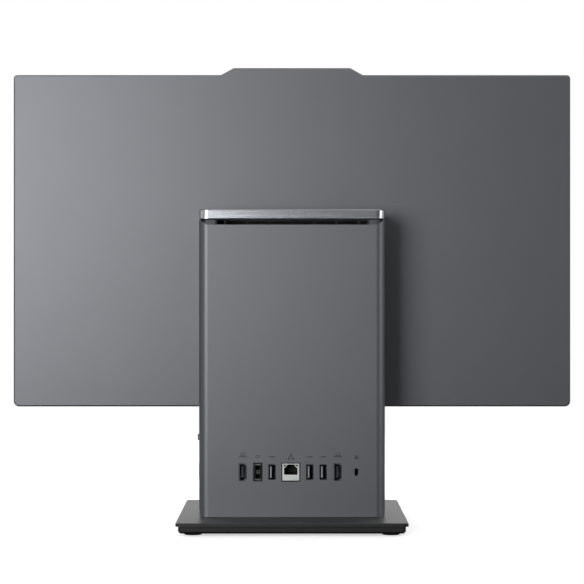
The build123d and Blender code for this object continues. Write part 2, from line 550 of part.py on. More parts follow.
def lock_plate():
    """The steel plate behind the rear wall with the slot for a security lock."""
    plate_y = (INNER_REAR - 2.0, INNER_REAR)
    plate = upright(Pos(LOCK_X, PORT_Z) * clipped(16, 14, 1.5), plate_y)
    return plate - upright(Pos(LOCK_X, PORT_Z) * clipped(3.0, LOCK_HEIGHT - PORT_FIT, 1.0), plate_y)


# ---- Side ports -----------------------------------------------------------------------------------
def side_usb_a_port():
    """The USB-A shell on the board's edge; its mouth stands proud of the side wall."""
    reach = (64.0, SIDE + 1.0)
    outline = clipped(SIDE_USB_WIDTH, SIDE_USB_HEIGHT, SHELL_CORNER)
    shell = sideways(Pos(SIDE_Y, SIDE_USB_A_Z) * outline, reach)
    inside = Rectangle(SIDE_USB_WIDTH - 2 * SHELL_WALL, SIDE_USB_HEIGHT - 2 * SHELL_WALL)
    shell -= sideways(Pos(SIDE_Y, SIDE_USB_A_Z) * inside, (reach[0] + 1, reach[1]))
    tongue = block((reach[0], reach[1] - 1.2), about(SIDE_Y + 1.0, 1.4), about(SIDE_USB_A_Z, 10.6))
    leg = block((66, 76), (SIDE_Y + SIDE_USB_WIDTH / 2 - 0.4, BOARD_Y[0]), about(SIDE_USB_A_Z, 10))
    return shell + tongue + leg


def side_usb_c_port():
    """The USB-C shell on the board's edge, with its thin tongue."""
    reach, wall = (74.0, SIDE - 0.2), 0.35
    place = Pos(SIDE_Y, SIDE_USB_C_Z)
    shell = sideways(place * pill(USB_C_WIDTH, USB_C_LENGTH), reach)
    inside = pill(USB_C_WIDTH - 2 * wall, USB_C_LENGTH - 2 * wall)
    shell -= sideways(place * inside, (reach[0] + 1, reach[1]))
    tongue = block((reach[0], reach[1] - 1.0), about(SIDE_Y, 0.7), about(SIDE_USB_C_Z, 6.6))
    leg = block((75, 79), (SIDE_Y + USB_C_WIDTH / 2 - 0.2, BOARD_Y[0]), about(SIDE_USB_C_Z, 7))
    return shell + tongue + leg


def audio_jack():
    """The 3.5 mm audio jack: a moulded body with a barrel that reaches the side wall's face."""
    body = block(JACK_BODY_X, (BOARD_Y[0] - 6.2, BOARD_Y[0]), about(JACK_Z, 6.4))
    mouth = SIDE - 0.1
    start = (JACK_BODY_X[1], SIDE_Y, JACK_Z)
    barrel = stud(JACK_BARREL, start, (1, 0, 0), mouth - JACK_BODY_X[1], ROUND_SIDES)
    return body + barrel - rod(JACK_BORE, (SIDE - JACK_DEPTH, SIDE_Y, JACK_Z), (1, 0, 0), JACK_DEPTH)


def power_switch():
    """The small switch on the board behind the power button."""
    face, plunger = 79.4, 1.2
    body = block((73.0, face), (SIDE_Y - 3, BOARD_Y[0]), about(BUTTON_Z, 6.0))
    return body + stud(1.3, (face, SIDE_Y, BUTTON_Z), (1, 0, 0), plunger)


def power_button():
    """The power button: a pill-shaped cap with a flange that holds it behind the wall."""
    place = Pos(SIDE_Y, BUTTON_Z)
    cap = sideways(place * pill(BUTTON_LENGTH, BUTTON_WIDTH), (BUTTON_BACK, SIDE + BUTTON_SHOW))
    flange = clipped(BUTTON_LENGTH + 1.6, BUTTON_WIDTH + 2.2, 1.5)
    return cap + sideways(place * flange, (BUTTON_BACK, INNER_SIDE - SUNK))


# ---- Computer -------------------------------------------------------------------------------------
def system_board():
    """The system board, parallel to the rear wall, with its chips, chokes and memory sockets."""
    face = BOARD_Y[0]
    board = block((-BOARD_HALF, BOARD_HALF), BOARD_Y, BOARD_Z)
    hole = BOARD_SCREW_RADIUS + 0.3
    holes = [stud(hole, (x, face, z), (0, 1, 0), BOARD_Y[1] - face, POST_SIDES) for x, z in POST_PLACES]
    board -= holes
    chips = ((-20, 40, 14, 1.6), (10, 72, 18, 2.0), (60, 190, 9, 1.2), (52, 208, 9, 1.2))
    board += [block(about(x, size), (face - high, face), about(z, size)) for x, z, size, high in chips]
    chokes = [(x, z) for x in (63, 73) for z in (132, 143, 154)]
    board += [block(about(x, 8), (face - 4.5, face), about(z, 8)) for x, z in chokes]
    socket_x = (MEMORY_X[0] - 1, MEMORY_X[1] + 1)
    return board + [block(socket_x, (face - 6, face), (z - 4, z)) for z in MEMORY_Z]


def memory_module(z):
    """A memory module in its socket, parallel to the board."""
    face, back, height, chip_size, pitch = 23.2, 24.4, 29.0, 11.0, 16.0
    module = block(MEMORY_X, (face, back), (z, z + height))
    xs = [MEMORY_X[0] + 10 + pitch * n for n in range(4)]
    return module + [block(about(x, chip_size), (face - 1.2, face), (z + 8, z + 20)) for x in xs]


def cpu():
    """The processor: substrate and heat spreader, in its socket."""
    socket_size, spreader, socket_face, top = CPU_SIZE + 6, CPU_SIZE - 8, 26.4, 24.4
    socket = block(about(CPU_X, socket_size), (socket_face, BOARD_Y[0]), about(CPU_Z, socket_size))
    return socket + block(about(CPU_X, spreader), (top, socket_face), about(CPU_Z, spreader))


def heat_sink():
    """The cold plate on the processor, with four sprung arms screwed to the board."""
    size, bottom, arm_y, arm_width, near, far = 44, 24.4, (22.4, 24.0), 6, 18, 27
    plate = block(about(CPU_X, size), (PIPE_Y[1], bottom), about(CPU_Z, size))
    arms = []
    for side_x, side_z in ((-1, -1), (-1, 1), (1, -1), (1, 1)):
        x, z = CPU_X + side_x * far, CPU_Z + side_z * far
        arm = trace(Line((CPU_X + side_x * near, CPU_Z + side_z * near), (x, z)), arm_width)
        post = stud(3.2, (x, arm_y[0], z), (0, 1, 0), BOARD_Y[0] - arm_y[0])
        arms.append(upright(arm, arm_y) + post)
    return plate + arms


def heat_pipe():
    """The flattened heat pipe from the processor up to the fins."""
    along_fins, far_end = sum(FIN_Z) / 2, -58
    corners = ((CPU_X, CPU_Z - 20), (CPU_X, along_fins), (far_end, along_fins))
    return upright(trace(FilletPolyline(*corners, radius=PIPE_BEND), PIPE_WIDTH), PIPE_Y)


def fin_stack():
    """The comb of cooling fins under the exhaust neck."""
    count, spine = int(2 * FIN_HALF / FIN_PITCH), 1.4
    rear = PIPE_Y[0] - spine
    xs = [(n - (count - 1) / 2) * FIN_PITCH for n in range(count)]
    base = block((-FIN_HALF, FIN_HALF), (rear, PIPE_Y[0]), FIN_Z)
    return base + [block(about(x, FIN_THICK), (4.0, rear), FIN_Z) for x in xs]


def fan_outline(inset=0.0):
    """The blower's case in X and Z: round below and open above."""
    radius, top = FAN_RADIUS + 6 - inset, FIN_Z[0] - 0.5
    mouth = Pos(FAN_X, (FAN_Z + top) / 2) * Rectangle(2 * radius, top - FAN_Z)
    return Pos(FAN_X, FAN_Z) * RegularPolygon(radius, ROUND_SIDES) + mouth


def fan_housing():
    """The blower's case: an inlet in front, an outlet on top, a fixed axle and three standoffs."""
    axle_front, inlet_radius, stand_radius = 8.0, 24, 3
    case = upright(fan_outline(), FAN_Y)
    case -= upright(fan_outline(FAN_WALL), (FAN_Y[0] + FAN_WALL, FAN_Y[1] - FAN_WALL))
    case -= stud(inlet_radius, (FAN_X, FAN_Y[0], FAN_Z), (0, 1, 0), FAN_WALL, ROUND_SIDES)
    axle_length = FAN_Y[1] - FAN_WALL - axle_front
    case += rod(AXLE_RADIUS, (FAN_X, axle_front, FAN_Z), (0, 1, 0), axle_length)
    places = ((-62, 180), (-8, 180), (-35, 226))
    stand_length = BOARD_Y[0] - FAN_Y[1]
    return case + [stud(stand_radius, (x, FAN_Y[1], z), (0, 1, 0), stand_length) for x, z in places]


def fan_impeller():
    """The blower's wheel: a hub cup with a ring of swept blades."""
    hub_y, bore_y, blade_y = (5.6, 14.2), (7.4, 14.2), (6.2, 13.0)
    hub = stud(HUB_RADIUS, (0, hub_y[0], 0), (0, 1, 0), hub_y[1] - hub_y[0], WASHER_SIDES)
    hub = chamfer(hub.faces().sort_by(Axis.Y)[0].edges(), 1.5)
    hub -= rod(AXLE_RADIUS + RUNNING_FIT, (0, bore_y[0], 0), (0, 1, 0), bore_y[1] - bore_y[0])
    sweep = ((HUB_RADIUS - 0.8, 0), ((HUB_RADIUS + FAN_RADIUS) / 2, 2.4), (FAN_RADIUS, 8.5))
    blade = upright(trace(Polyline(*sweep), BLADE_THICK), blade_y)
    ring = [blade.rotate(Axis.Y, n * 360 / BLADES) for n in range(BLADES)]
    return Pos(FAN_X, 0, FAN_Z) * (hub + ring)


def storage_drive():
    """The storage card in its socket, held down by a screw post."""
    card_y, card_z = (24.6, 25.4), (95, 117)
    card = block((-2, 76), card_y, card_z)
    socket = block((74, 78), (24.0, BOARD_Y[0]), (card_z[0] - 1, card_z[1] + 1))
    chips = [block((x, x + 14), (card_y[0] - 1.2, card_y[0]), (99, 113)) for x in (8, 28, 50)]
    post = stud(2.0, (0.5, card_y[1], 106), (0, 1, 0), BOARD_Y[0] - card_y[1], POST_SIDES)
    return card + socket + chips + post


def wifi_card():
    """The wireless card with its shield can, in its socket."""
    card_y, card_z = (25.0, 25.8), (26, 48)
    card = block((28, 58), card_y, card_z)
    can = block((34, 50), (card_y[0] - 1.4, card_y[0]), (card_z[0] + 2, card_z[1] - 2))
    socket = block((24, 28), (24.4, BOARD_Y[0]), (card_z[0] - 1, card_z[1] + 1))
    post = stud(2.0, (56, card_y[1], 37), (0, 1, 0), BOARD_Y[0] - card_y[1], POST_SIDES)
    return card + can + socket + post


def coin_cell():
    """The clock battery in its round holder."""
    x, z, holder_face, cell = -52, 42, 25.6, 1.4
    holder = stud(11.5, (x, holder_face, z), (0, 1, 0), BOARD_Y[0] - holder_face, WASHER_SIDES)
    return holder + stud(10.0, (x, holder_face - cell, z), (0, 1, 0), cell, WASHER_SIDES)


def board_screws():
    """Five screws that hold the board to the rear cover's posts."""
    head, head_radius, face = 1.4, 2.6, BOARD_Y[0]
    screws = []
    for x, z in POST_PLACES:
        top = stud(head_radius, (x, face - head, z), (0, 1, 0), head, POST_SIDES)
        shank = BOARD_Y[1] - face + BOARD_SCREW_LENGTH - BEYOND
        screws.append(top + stud(BOARD_SCREW_RADIUS, (x, face, z), (0, 1, 0), shank, POST_SIDES))
    return union(screws)


# ---- Display --------------------------------------------------------------------------------------
def display_rear_cover():
    """The display's moulded back: a shallow dish with a bevelled edge, ribs and a bracket pad."""
    dish = upright(panel_outline(), (FRAME_Y[1], PANEL_REAR))
    dish = chamfer(dish.faces().sort_by(Axis.Y)[-1].edges(), PANEL_EDGE)
    dish -= upright(panel_outline(PANEL_WALL), (FRAME_Y[1], COVER_FLOOR))
    inner_side, inner_low = PANEL_WIDTH / 2 - PANEL_WALL, PANEL_BOTTOM + PANEL_WALL
    rib_y = (MODULE_BACK, COVER_FLOOR)
    upright_rib_z = (MODULE_Z[0], PANEL_TOP - PANEL_WALL)
    dish += [block(about(x, RIB_THICK), rib_y, upright_rib_z) for x in (-190, -85, 85, 190)]
    dish += [block((-inner_side, inner_side), rib_y, about(z, RIB_THICK)) for z in (185, 370)]
    dish += block((-52, 52), PAD_Y, (BRACKET_Z[0] - 4, BRACKET_Z[1] + 4))
    grow = 2 * PORT_FIT
    pocket = clipped(2 * BRACKET_HALF_X + grow, BRACKET_HEIGHT + grow, BRACKET_CORNER)
    dish -= upright(Pos(0, BRACKET_MIDDLE) * pocket, BRACKET_Y)
    dish -= upright(cable_hole(), (PAD_Y[0], PANEL_REAR))
    dish -= bracket_screw_rods(BRACKET_SCREW_RADIUS, (PAD_Y[0], PANEL_REAR))
    posts = [(x, z) for x in (-52, 52) for z in (CONVERTER_Z[0] + 6, CONVERTER_Z[1] - 6)]
    dish += [block(about(x, 4), (CONVERTER_Y[1], COVER_FLOOR), about(z, 4)) for x, z in posts]
    camera_post_y = (CAMERA_BOARD_Y[1], COVER_FLOOR)
    dish += [block(about(x, 3.4), camera_post_y, about(CAMERA_Z, 3.4)) for x in (-24, 24)]
    first = SPEAKER_X - (SPEAKER_SLOTS - 1) / 2 * SPEAKER_PITCH
    slots = [about(first + n * SPEAKER_PITCH, SPEAKER_LENGTH) for n in range(SPEAKER_SLOTS)]
    dish -= both_sides(union(block(x, (-36.4, -32.0), (PANEL_BOTTOM, inner_low)) for x in slots))
    return dish


def middle_frame():
    """The frame around the screen module, between rear cover and bezel."""
    room = 0.4
    opening_z = (MODULE_Z[0] - room, MODULE_Z[1] + room)
    frame = upright(panel_outline(), FRAME_Y)
    frame -= block(about(0, MODULE_WIDTH + 2 * room), FRAME_Y, opening_z)
    camera_room = (MODULE_Z[1] - BEYOND, PANEL_TOP + BUMP_HEIGHT - 1.8)
    return frame - block((-32, 32), FRAME_Y, camera_room)


def front_bezel():
    """The thin black border round the glass, with the camera's window and the shutter's slot."""
    bezel = upright(panel_outline(), BEZEL_Y)
    bezel = chamfer(bezel.faces().sort_by(Axis.Y)[0].edges(), BEZEL_EDGE)
    half = PANEL_WIDTH / 2
    bezel -= block((-half, half), BEZEL_Y, (PANEL_BOTTOM, CHIN_TOP))
    bezel -= block(about(0, SCREEN_WIDTH), BEZEL_Y, (CHIN_TOP, SCREEN_TOP))
    thick = BEZEL_Y[1] - BEZEL_Y[0]
    bezel -= stud(CAMERA_WINDOW, (0, BEZEL_Y[0], CAMERA_Z), (0, 1, 0), thick, ROUND_SIDES)
    slot_x = (SHUTTER_X - SHUTTER_TRAVEL - 2.4, SHUTTER_X + 2.4)
    return bezel - block(slot_x, BEZEL_Y, about(CAMERA_Z, 2.4))


def chin_trim():
    """The strip below the screen."""
    chin = upright(panel_outline(), BEZEL_Y)
    chin = chamfer(chin.faces().sort_by(Axis.Y)[0].edges(), BEZEL_EDGE)
    half = PANEL_WIDTH / 2
    return chin - block((-half, half), BEZEL_Y, (CHIN_TOP, PANEL_TOP + BUMP_HEIGHT))


def lcd_module():
    """The backlight and liquid-crystal module in its metal tray, stepped in behind its front rim."""
    rim_y = (FRAME_Y[0], FRAME_Y[0] + 3.0)
    rim = block(about(0, MODULE_WIDTH), rim_y, MODULE_Z)
    body_z = (MODULE_Z[0] + 2, MODULE_Z[1] - 3)
    return rim + block(about(0, MODULE_WIDTH - 6), (rim_y[1], MODULE_BACK), body_z)


def lcd_glass():
    """The sheet of glass in front, a little below the bezel's face."""
    sunk, room = 0.6, 0.3
    glass_y = (PANEL_FRONT + sunk, FRAME_Y[0])
    return block(about(0, SCREEN_WIDTH - 2 * room), glass_y, (CHIN_TOP + room, SCREEN_TOP - room))


def converter_board():
    """The panel's driver board with its connector, on four posts."""
    connector_y = (CONVERTER_Y[1], CONVERTER_Y[1] + 1.2)
    return block((-60, 60), CONVERTER_Y, CONVERTER_Z) + block((-20, 20), connector_y, (158, 166))


def camera_board():
    """The camera's board with a microphone near each end."""
    front, height = CAMERA_BOARD_Y[0], 7.6
    board = block((-28, 28), CAMERA_BOARD_Y, about(CAMERA_Z, height))
    return board + both_sides(block(about(20, 4), (front - 1.0, front), about(CAMERA_Z, 3)))


def camera_lens():
    """The camera's lens barrel with its front glass set back."""
    start = (0, LENS_FRONT, CAMERA_Z)
    barrel = stud(3.0, start, (0, 1, 0), CAMERA_BOARD_Y[0] - LENS_FRONT)
    return barrel - stud(1.9, start, (0, 1, 0), 0.6, ROUND_SIDES)


def camera_shutter():
    """The privacy shutter: a blade behind the bezel and a tab that slides in the bezel's slot."""
    blade = block((SHUTTER_X - 11, SHUTTER_X + 4), BLADE_Y, about(CAMERA_Z, 6.4))
    tab = block(about(SHUTTER_X, 4.0), (PANEL_FRONT - 0.6, BLADE_Y[0]), about(CAMERA_Z, 1.8))
    return blade + chamfer(tab.faces().sort_by(Axis.Y)[0].edges(), 0.2)


def speaker(side):
    """A slim speaker box in the display's lower edge, on one side."""
    middle, low = side * SPEAKER_X, PANEL_BOTTOM + PANEL_WALL
    box = block(about(middle, SPEAKER_WIDTH), (-37.6, COVER_FLOOR), (low, SPEAKER_TOP))
    return box - raised(Pos(middle, -34.2) * Rectangle(70, 4.4), (low, low + 1.5))


def wifi_antennas():
    """Two foil antennas on plastic strips inside the top of the display's back."""
    strip_y, strip_z = (COVER_FLOOR - 1.0, COVER_FLOOR), (418, 427)
    strip = block(about(120, 48), strip_y, strip_z)
    feed = block(about(112, 26), (strip_y[0], strip_y[0] + 0.4), (strip_z[0] + 2, strip_z[1] - 2))
    return both_sides(strip - feed)


PIECES = {
    "base_tray": base_tray,
    "rubber_feet": rubber_feet,
    "base_plate": base_plate,
    "base_screws": base_screws,
    "stand_bracket": stand_bracket,
    "hinge_base": hinge_base,
    "hinge_shaft": hinge_shaft,
    "friction_washers": friction_washers,
    "hinge_screws": hinge_screws,
    "column_rear_cover": column_rear_cover,
    "column_front_cover": column_front_cover,
    "cover_screws": cover_screws,
    "top_band": top_band,
    "top_cap": top_cap,
    "exhaust_neck": exhaust_neck,
    "usb_tongues": usb_tongues,
    "hdmi_tongues": hdmi_tongues,
    "ethernet_jack": ethernet_jack,
    "ethernet_insert": ethernet_insert,
    "power_inlet": power_inlet,
    "power_inlet_pin": power_inlet_pin,
    "lock_plate": lock_plate,
    "side_usb_a_port": side_usb_a_port,
    "side_usb_c_port": side_usb_c_port,
    "audio_jack": audio_jack,
    "power_switch": power_switch,
    "power_button": power_button,
    "system_board": system_board,
    "board_screws": board_screws,
    "cpu": cpu,
    "heat_sink": heat_sink,
    "heat_pipe": heat_pipe,
    "fin_stack": fin_stack,
    "fan_housing": fan_housing,
    "fan_impeller": fan_impeller,
    "storage_drive": storage_drive,
    "wifi_card": wifi_card,
    "coin_cell": coin_cell,
    "display_bracket": display_bracket,
    "bracket_screws": bracket_screws,
    "display_rear_cover": display_rear_cover,
    "middle_frame": middle_frame,
    "front_bezel": front_bezel,
    "chin_trim": chin_trim,
    "lcd_module": lcd_module,
    "lcd_glass": lcd_glass,
    "converter_board": converter_board,
    "camera_board": camera_board,
    "camera_lens": camera_lens,
    "camera_shutter": camera_shutter,
    "wifi_antennas": wifi_antennas,
}

os.makedirs("parts", exist_ok=True)
for name, make in PIECES.items():
    export_step(make(), f"parts/{name}.step")
for number, x in enumerate(USB_X, start=1):
    export_step(rear_usb_port(x), f"parts/rear_usb_port_{number}.step")
for number, x in enumerate(HDMI_X, start=1):
    export_step(rear_hdmi_port(x), f"parts/rear_hdmi_port_{number}.step")
for number, z in enumerate(MEMORY_Z, start=1):
    export_step(memory_module(z), f"parts/memory_module_{number}.step")
for side, x_sign in (("right", 1), ("left", -1)):
    export_step(speaker(x_sign), f"parts/speaker_{side}.step")
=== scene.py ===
"""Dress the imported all-in-one computer: its finishes, its small parts, the studio light and the camera.

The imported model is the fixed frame. +X is the long side, the screen faces -Y and the ports face +Y.
Places come from the frame's nodes; sizes of small parts are in millimetres.
"""

from __future__ import annotations

import logging
import math
from dataclasses import dataclass
from enum import Enum
from typing import Callable, Sequence

import bmesh
import bpy
from mathutils import Matrix, Vector

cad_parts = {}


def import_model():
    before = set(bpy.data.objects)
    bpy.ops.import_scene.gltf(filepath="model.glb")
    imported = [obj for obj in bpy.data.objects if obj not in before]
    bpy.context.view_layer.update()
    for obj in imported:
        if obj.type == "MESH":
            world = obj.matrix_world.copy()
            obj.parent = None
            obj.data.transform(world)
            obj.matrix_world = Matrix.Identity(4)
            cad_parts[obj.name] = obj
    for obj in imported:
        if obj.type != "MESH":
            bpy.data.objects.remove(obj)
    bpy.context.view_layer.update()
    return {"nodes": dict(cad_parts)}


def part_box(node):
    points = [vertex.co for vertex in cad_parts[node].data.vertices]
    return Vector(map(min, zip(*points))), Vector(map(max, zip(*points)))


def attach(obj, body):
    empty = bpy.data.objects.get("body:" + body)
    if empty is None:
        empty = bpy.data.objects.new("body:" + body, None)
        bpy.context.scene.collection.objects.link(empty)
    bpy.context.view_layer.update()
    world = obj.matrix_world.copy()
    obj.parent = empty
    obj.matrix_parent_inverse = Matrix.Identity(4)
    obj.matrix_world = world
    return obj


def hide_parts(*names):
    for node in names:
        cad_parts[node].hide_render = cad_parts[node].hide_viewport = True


LOG = logging.getLogger("all_in_one")
MM = 0.001
Point = tuple[float, float]
Triple = tuple[float, float, float]
Colour = tuple[float, float, float, float]
Radius = Callable[[float], float]
Tree = bpy.types.NodeTree
Node = bpy.types.Node
Socket = bpy.types.NodeSocket
WHITE: Colour = (1.0, 1.0, 1.0, 1.0)
# what makes a mix node mix colours: they go in at places 6 and 7 and come out at place 2
COLOURS = {"data_type": "RGBA"}


class Body(str, Enum):
    """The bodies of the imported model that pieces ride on."""

    STAND = "stand"
    DISPLAY = "display"
    BUTTON = "power_button"
    SHUTTER = "camera_shutter"


# ---- Shader nodes -----------------------------------------------------------------------------------


def linear(code: str) -> Colour:
    """Turn an sRGB hex code into a linear colour.

    Args:
        code: Six hex digits after a hash sign.

    Returns:
        Red, green, blue and an alpha of one.
    """
    shares = [int(code[i : i + 2], 16) / 255 for i in (1, 3, 5)]
    parts = [s / 12.92 if s <= 0.04045 else ((s + 0.055) / 1.055) ** 2.4 for s in shares]
    return (parts[0], parts[1], parts[2], 1.0)


def shade(code: str, share: float) -> Colour:
    """Give a colour's linear value, lighter or darker by a share."""
    red, green, blue, alpha = linear(code)
    return (red * share, green * share, blue * share, alpha)


def plug(tree: Tree, node: Node, sockets: dict[str | int, object]) -> None:
    """Fill a node's input sockets.

    Args:
        tree: The node tree that holds the node.
        node: The node.
        sockets: Values by socket name or place; an output socket or a node's first output is linked.
    """
    for socket, value in sockets.items():
        if isinstance(value, Node):
            tree.links.new(value.outputs[0], node.inputs[socket])
        elif isinstance(value, Socket):
            tree.links.new(value, node.inputs[socket])
        else:
            node.inputs[socket].default_value = value


def add(
    tree: Tree,
    kind: str,
    settings: dict[str, object] | None = None,
    sockets: dict[str | int, object] | None = None,
) -> Node:
    """Add a node, set its properties and fill its sockets.

    Args:
        tree: The node tree that gets the node.
        kind: The node's type name.
        settings: Property values by name.
        sockets: Values by socket name or place, as plug takes them.

    Returns:
        The new node.
    """
    node = tree.nodes.new(kind)
    for name, value in (settings or {}).items():
        setattr(node, name, value)
    plug(tree, node, sockets or {})
    return node


def object_place(tree: Tree, stretch_mm: Sequence[float]) -> Node:
    """Give the point on the object, in steps of the stretch along each axis.

    Args:
        tree: The node tree to build in.
        stretch_mm: How many millimetres make one step along X, Y and Z.

    Returns:
        The node that gives the point.
    """
    place = add(tree, "ShaderNodeTexCoord").outputs["Object"]
    steps = [1 / (MM * size) for size in stretch_mm]
    return add(tree, "ShaderNodeMapping", {}, {"Vector": place, "Scale": steps})


def mottle(
    tree: Tree, size_mm: float | Sequence[float], detail: float = 3.0, roughness: float = 0.55
) -> Node:
    """Give smooth noise whose blotches have a real size.

    Args:
        tree: The node tree to build in.
        size_mm: Blotch size, or one size for each axis.
        detail: How many finer layers lie on the first.
        roughness: How strong the finer layers are.

    Returns:
        The noise, whose first output is its factor.
    """
    sizes = (size_mm,) * 3 if isinstance(size_mm, (int, float)) else size_mm
    sockets = {"Vector": object_place(tree, sizes), "Scale": 1.0, "Detail": detail, "Roughness": roughness}
    return add(tree, "ShaderNodeTexNoise", {}, sockets)


def ray_kinds(tree: Tree) -> tuple[Node, Socket]:
    """Tell which rays look at the studio.

    Args:
        tree: The node tree to build in.

    Returns:
        Two factors: rays that see it straight or through glass, and rays that see it in gloss.
    """
    rays = add(tree, "ShaderNodeLightPath").outputs
    either = {0: rays["Is Camera Ray"], 1: rays["Is Transmission Ray"]}
    seen = add(tree, "ShaderNodeMath", {"operation": "MAXIMUM"}, either)
    return seen, rays["Is Glossy Ray"]


# ---- Finishes ---------------------------------------------------------------------------------------


@dataclass(frozen=True)
class Finish:
    """A finish with one body colour: its name, its colour and how it takes light.

    Attributes:
        name: What a maker calls it.
        colour: Its sRGB hex code.
        roughness: The shader's roughness.
        grain_mm: Size of the marks that its making leaves.
        depth_mm: Depth of those marks.
        vary: How far the colour drifts, as a share.
        ior: Refraction index.
    """

    name: str
    colour: str
    roughness: float = 0.5
    grain_mm: float = 0.6
    depth_mm: float = 0.01
    vary: float = 0.05
    ior: float = 1.5

    def material(self) -> bpy.types.Material:
        """Give the finish's material, built on first use."""
        return bpy.data.materials.get(self.name) or self._build()

    def _build(self) -> bpy.types.Material:
        """Build the material: one shader, dressed by the finish's own surface.

        Returns:
            The new material.
        """
        material = bpy.data.materials.new(self.name)
        material.use_nodes = True
        tree = material.node_tree
        tree.nodes.clear()
        sockets = {"Base Color": linear(self.colour), "Roughness": self.roughness, "IOR": self.ior}
        shader = add(tree, "ShaderNodeBsdfPrincipled", {}, sockets)
        self.surface(tree, shader)
        add(tree, "ShaderNodeOutputMaterial", {}, {"Surface": shader.outputs[0]})
        material.diffuse_color = linear(self.colour)
        return material

    def tint(self, tree: Tree, factor: Node) -> Socket:
        """Give the body colour, which drifts darker and lighter with the factor."""
        darker, lighter = (shade(self.colour, 1 + side * self.vary) for side in (-1, 1))
        return add(tree, "ShaderNodeMix", COLOURS, {0: factor, 6: darker, 7: lighter}).outputs[2]

    def dullness(self, tree: Tree, factor: Node | Socket, near: float, far: float) -> Node:
        """Give the roughness, which goes from one step off its value to another with the factor.

        Args:
            tree: The material's node tree.
            factor: What it goes with, from 0.3 to 0.7.
            near: The step at the low end.
            far: The step at the high end.

        Returns:
            The node that gives the roughness.
        """
        middle = {"Value": factor, "From Min": 0.3, "From Max": 0.7}
        ends = {"To Min": self.roughness + near, "To Max": self.roughness + far}
        return add(tree, "ShaderNodeMapRange", {}, {**middle, **ends})

    def marks(self, tree: Tree, height: Node, strength: float = 1.0) -> Node:
        """Give the normal of marks as deep as the finish's own, from a height of zero to one."""
        sockets = {"Height": height, "Distance": self.depth_mm * MM, "Strength": strength}
        return add(tree, "ShaderNodeBump", {}, sockets)

    def surface(self, tree: Tree, shader: Node) -> None:
        """Dress the shader as a plain moulding: fine grain and a slight drift of colour.

        Args:
            tree: The material's node tree.
            shader: Its shader.
        """
        # mould grain is about 0.1 mm; it is drawn coarser, at the size that still shows
        grain = mottle(tree, self.grain_mm, 2)
        sockets = {
            "Base Color": self.tint(tree, mottle(tree, 60 * self.grain_mm, 1)),
            "Roughness": self.dullness(tree, grain, -0.05, 0.05),
            "Normal": self.marks(tree, grain),
        }
        plug(tree, shader, sockets)


@dataclass(frozen=True)
class Lacquer(Finish):
    """PC-ABS housing, moulded smooth and sprayed with a satin lacquer full of fine aluminium flake.

    The flake turns a soft lamp into a wide, slow gradient, and the clear coat keeps it from going chalky.

    Attributes:
        flake: How much of the light the flake turns, as a share.
        flake_mm: Size at which the flake is drawn.
        cloud_mm: Size of the clouds that the spray gun leaves.
        peel_mm: Size of the orange peel.
    """

    flake: float = 0.5
    flake_mm: float = 0.7
    cloud_mm: float = 45.0
    peel_mm: float = 2.2

    def surface(self, tree: Tree, shader: Node) -> None:
        """Dress the shader with flake, spray mottle and a faint orange peel.

        Args:
            tree: The material's node tree.
            shader: Its shader.
        """
        # real flake is about 0.03 mm; it is drawn coarser, at the size that still shows
        flake = mottle(tree, self.flake_mm, 1)
        colour = self.tint(tree, mottle(tree, self.cloud_mm, 2))
        lit = {"Value": flake, "From Min": 0.35, "From Max": 0.75, "To Max": 0.12}
        glint = {0: add(tree, "ShaderNodeMapRange", {}, lit), 6: colour, 7: shade(self.colour, 1.6)}
        sockets = {
            "Base Color": add(tree, "ShaderNodeMix", COLOURS, glint).outputs[2],
            "Roughness": self.dullness(tree, flake, -0.04, 0.04),
            "Normal": self.marks(tree, mottle(tree, self.peel_mm, 2), 0.6),
            "Metallic": self.flake,
        }
        plug(tree, shader, sockets)


@dataclass(frozen=True)
class SparkedPlastic(Finish):
    """ABS moulded against a spark-eroded tool: an even, fine pitting that kills the shine."""

    def surface(self, tree: Tree, shader: Node) -> None:
        """Dress the shader with pits and the duller skin between them.

        Args:
            tree: The material's node tree.
            shader: Its shader.
        """
        # spark pits are about 0.2 mm; they are drawn coarser, at the size that still shows
        place = object_place(tree, (self.grain_mm,) * 3)
        pits = add(tree, "ShaderNodeTexVoronoi", {}, {"Vector": place, "Scale": 1.0})
        sockets = {
            "Base Color": self.tint(tree, mottle(tree, 40 * self.grain_mm, 2)),
            "Roughness": self.dullness(tree, pits, 0.06, -0.04),
            "Normal": self.marks(tree, pits),
        }
        plug(tree, shader, sockets)


@dataclass(frozen=True)
class Duct(SparkedPlastic):
    """The exhaust duct: its ribbed middle is matt black and its ends carry the housing's lacquer.

    Attributes:
        half_mm: Half width of the ribbed middle.
        ends: The lacquer's sRGB hex code.
        flake: How much of the light the lacquer's flake turns, as a share.
    """

    half_mm: float = 72.0
    ends: str = "#5a5b5f"
    flake: float = 0.5

    def surface(self, tree: Tree, shader: Node) -> None:
        """Dress the shader as pitted plastic, then paint its ends.

        Args:
            tree: The material's node tree.
            shader: Its shader.
        """
        super().surface(tree, shader)
        middle = shader.inputs["Base Color"].links[0].from_socket
        place = add(tree, "ShaderNodeTexCoord").outputs["Object"]
        side = add(tree, "ShaderNodeSeparateXYZ", {}, {0: place})
        across = add(tree, "ShaderNodeMath", {"operation": "ABSOLUTE"}, {0: side})
        end = add(tree, "ShaderNodeMath", {"operation": "GREATER_THAN"}, {0: across, 1: self.half_mm * MM})
        paint = {0: end, 6: middle, 7: linear(self.ends)}
        sockets = {
            "Base Color": add(tree, "ShaderNodeMix", COLOURS, paint).outputs[2],
            "Metallic": add(tree, "ShaderNodeMapRange", {}, {"Value": end, "To Max": self.flake}),
        }
        plug(tree, shader, sockets)


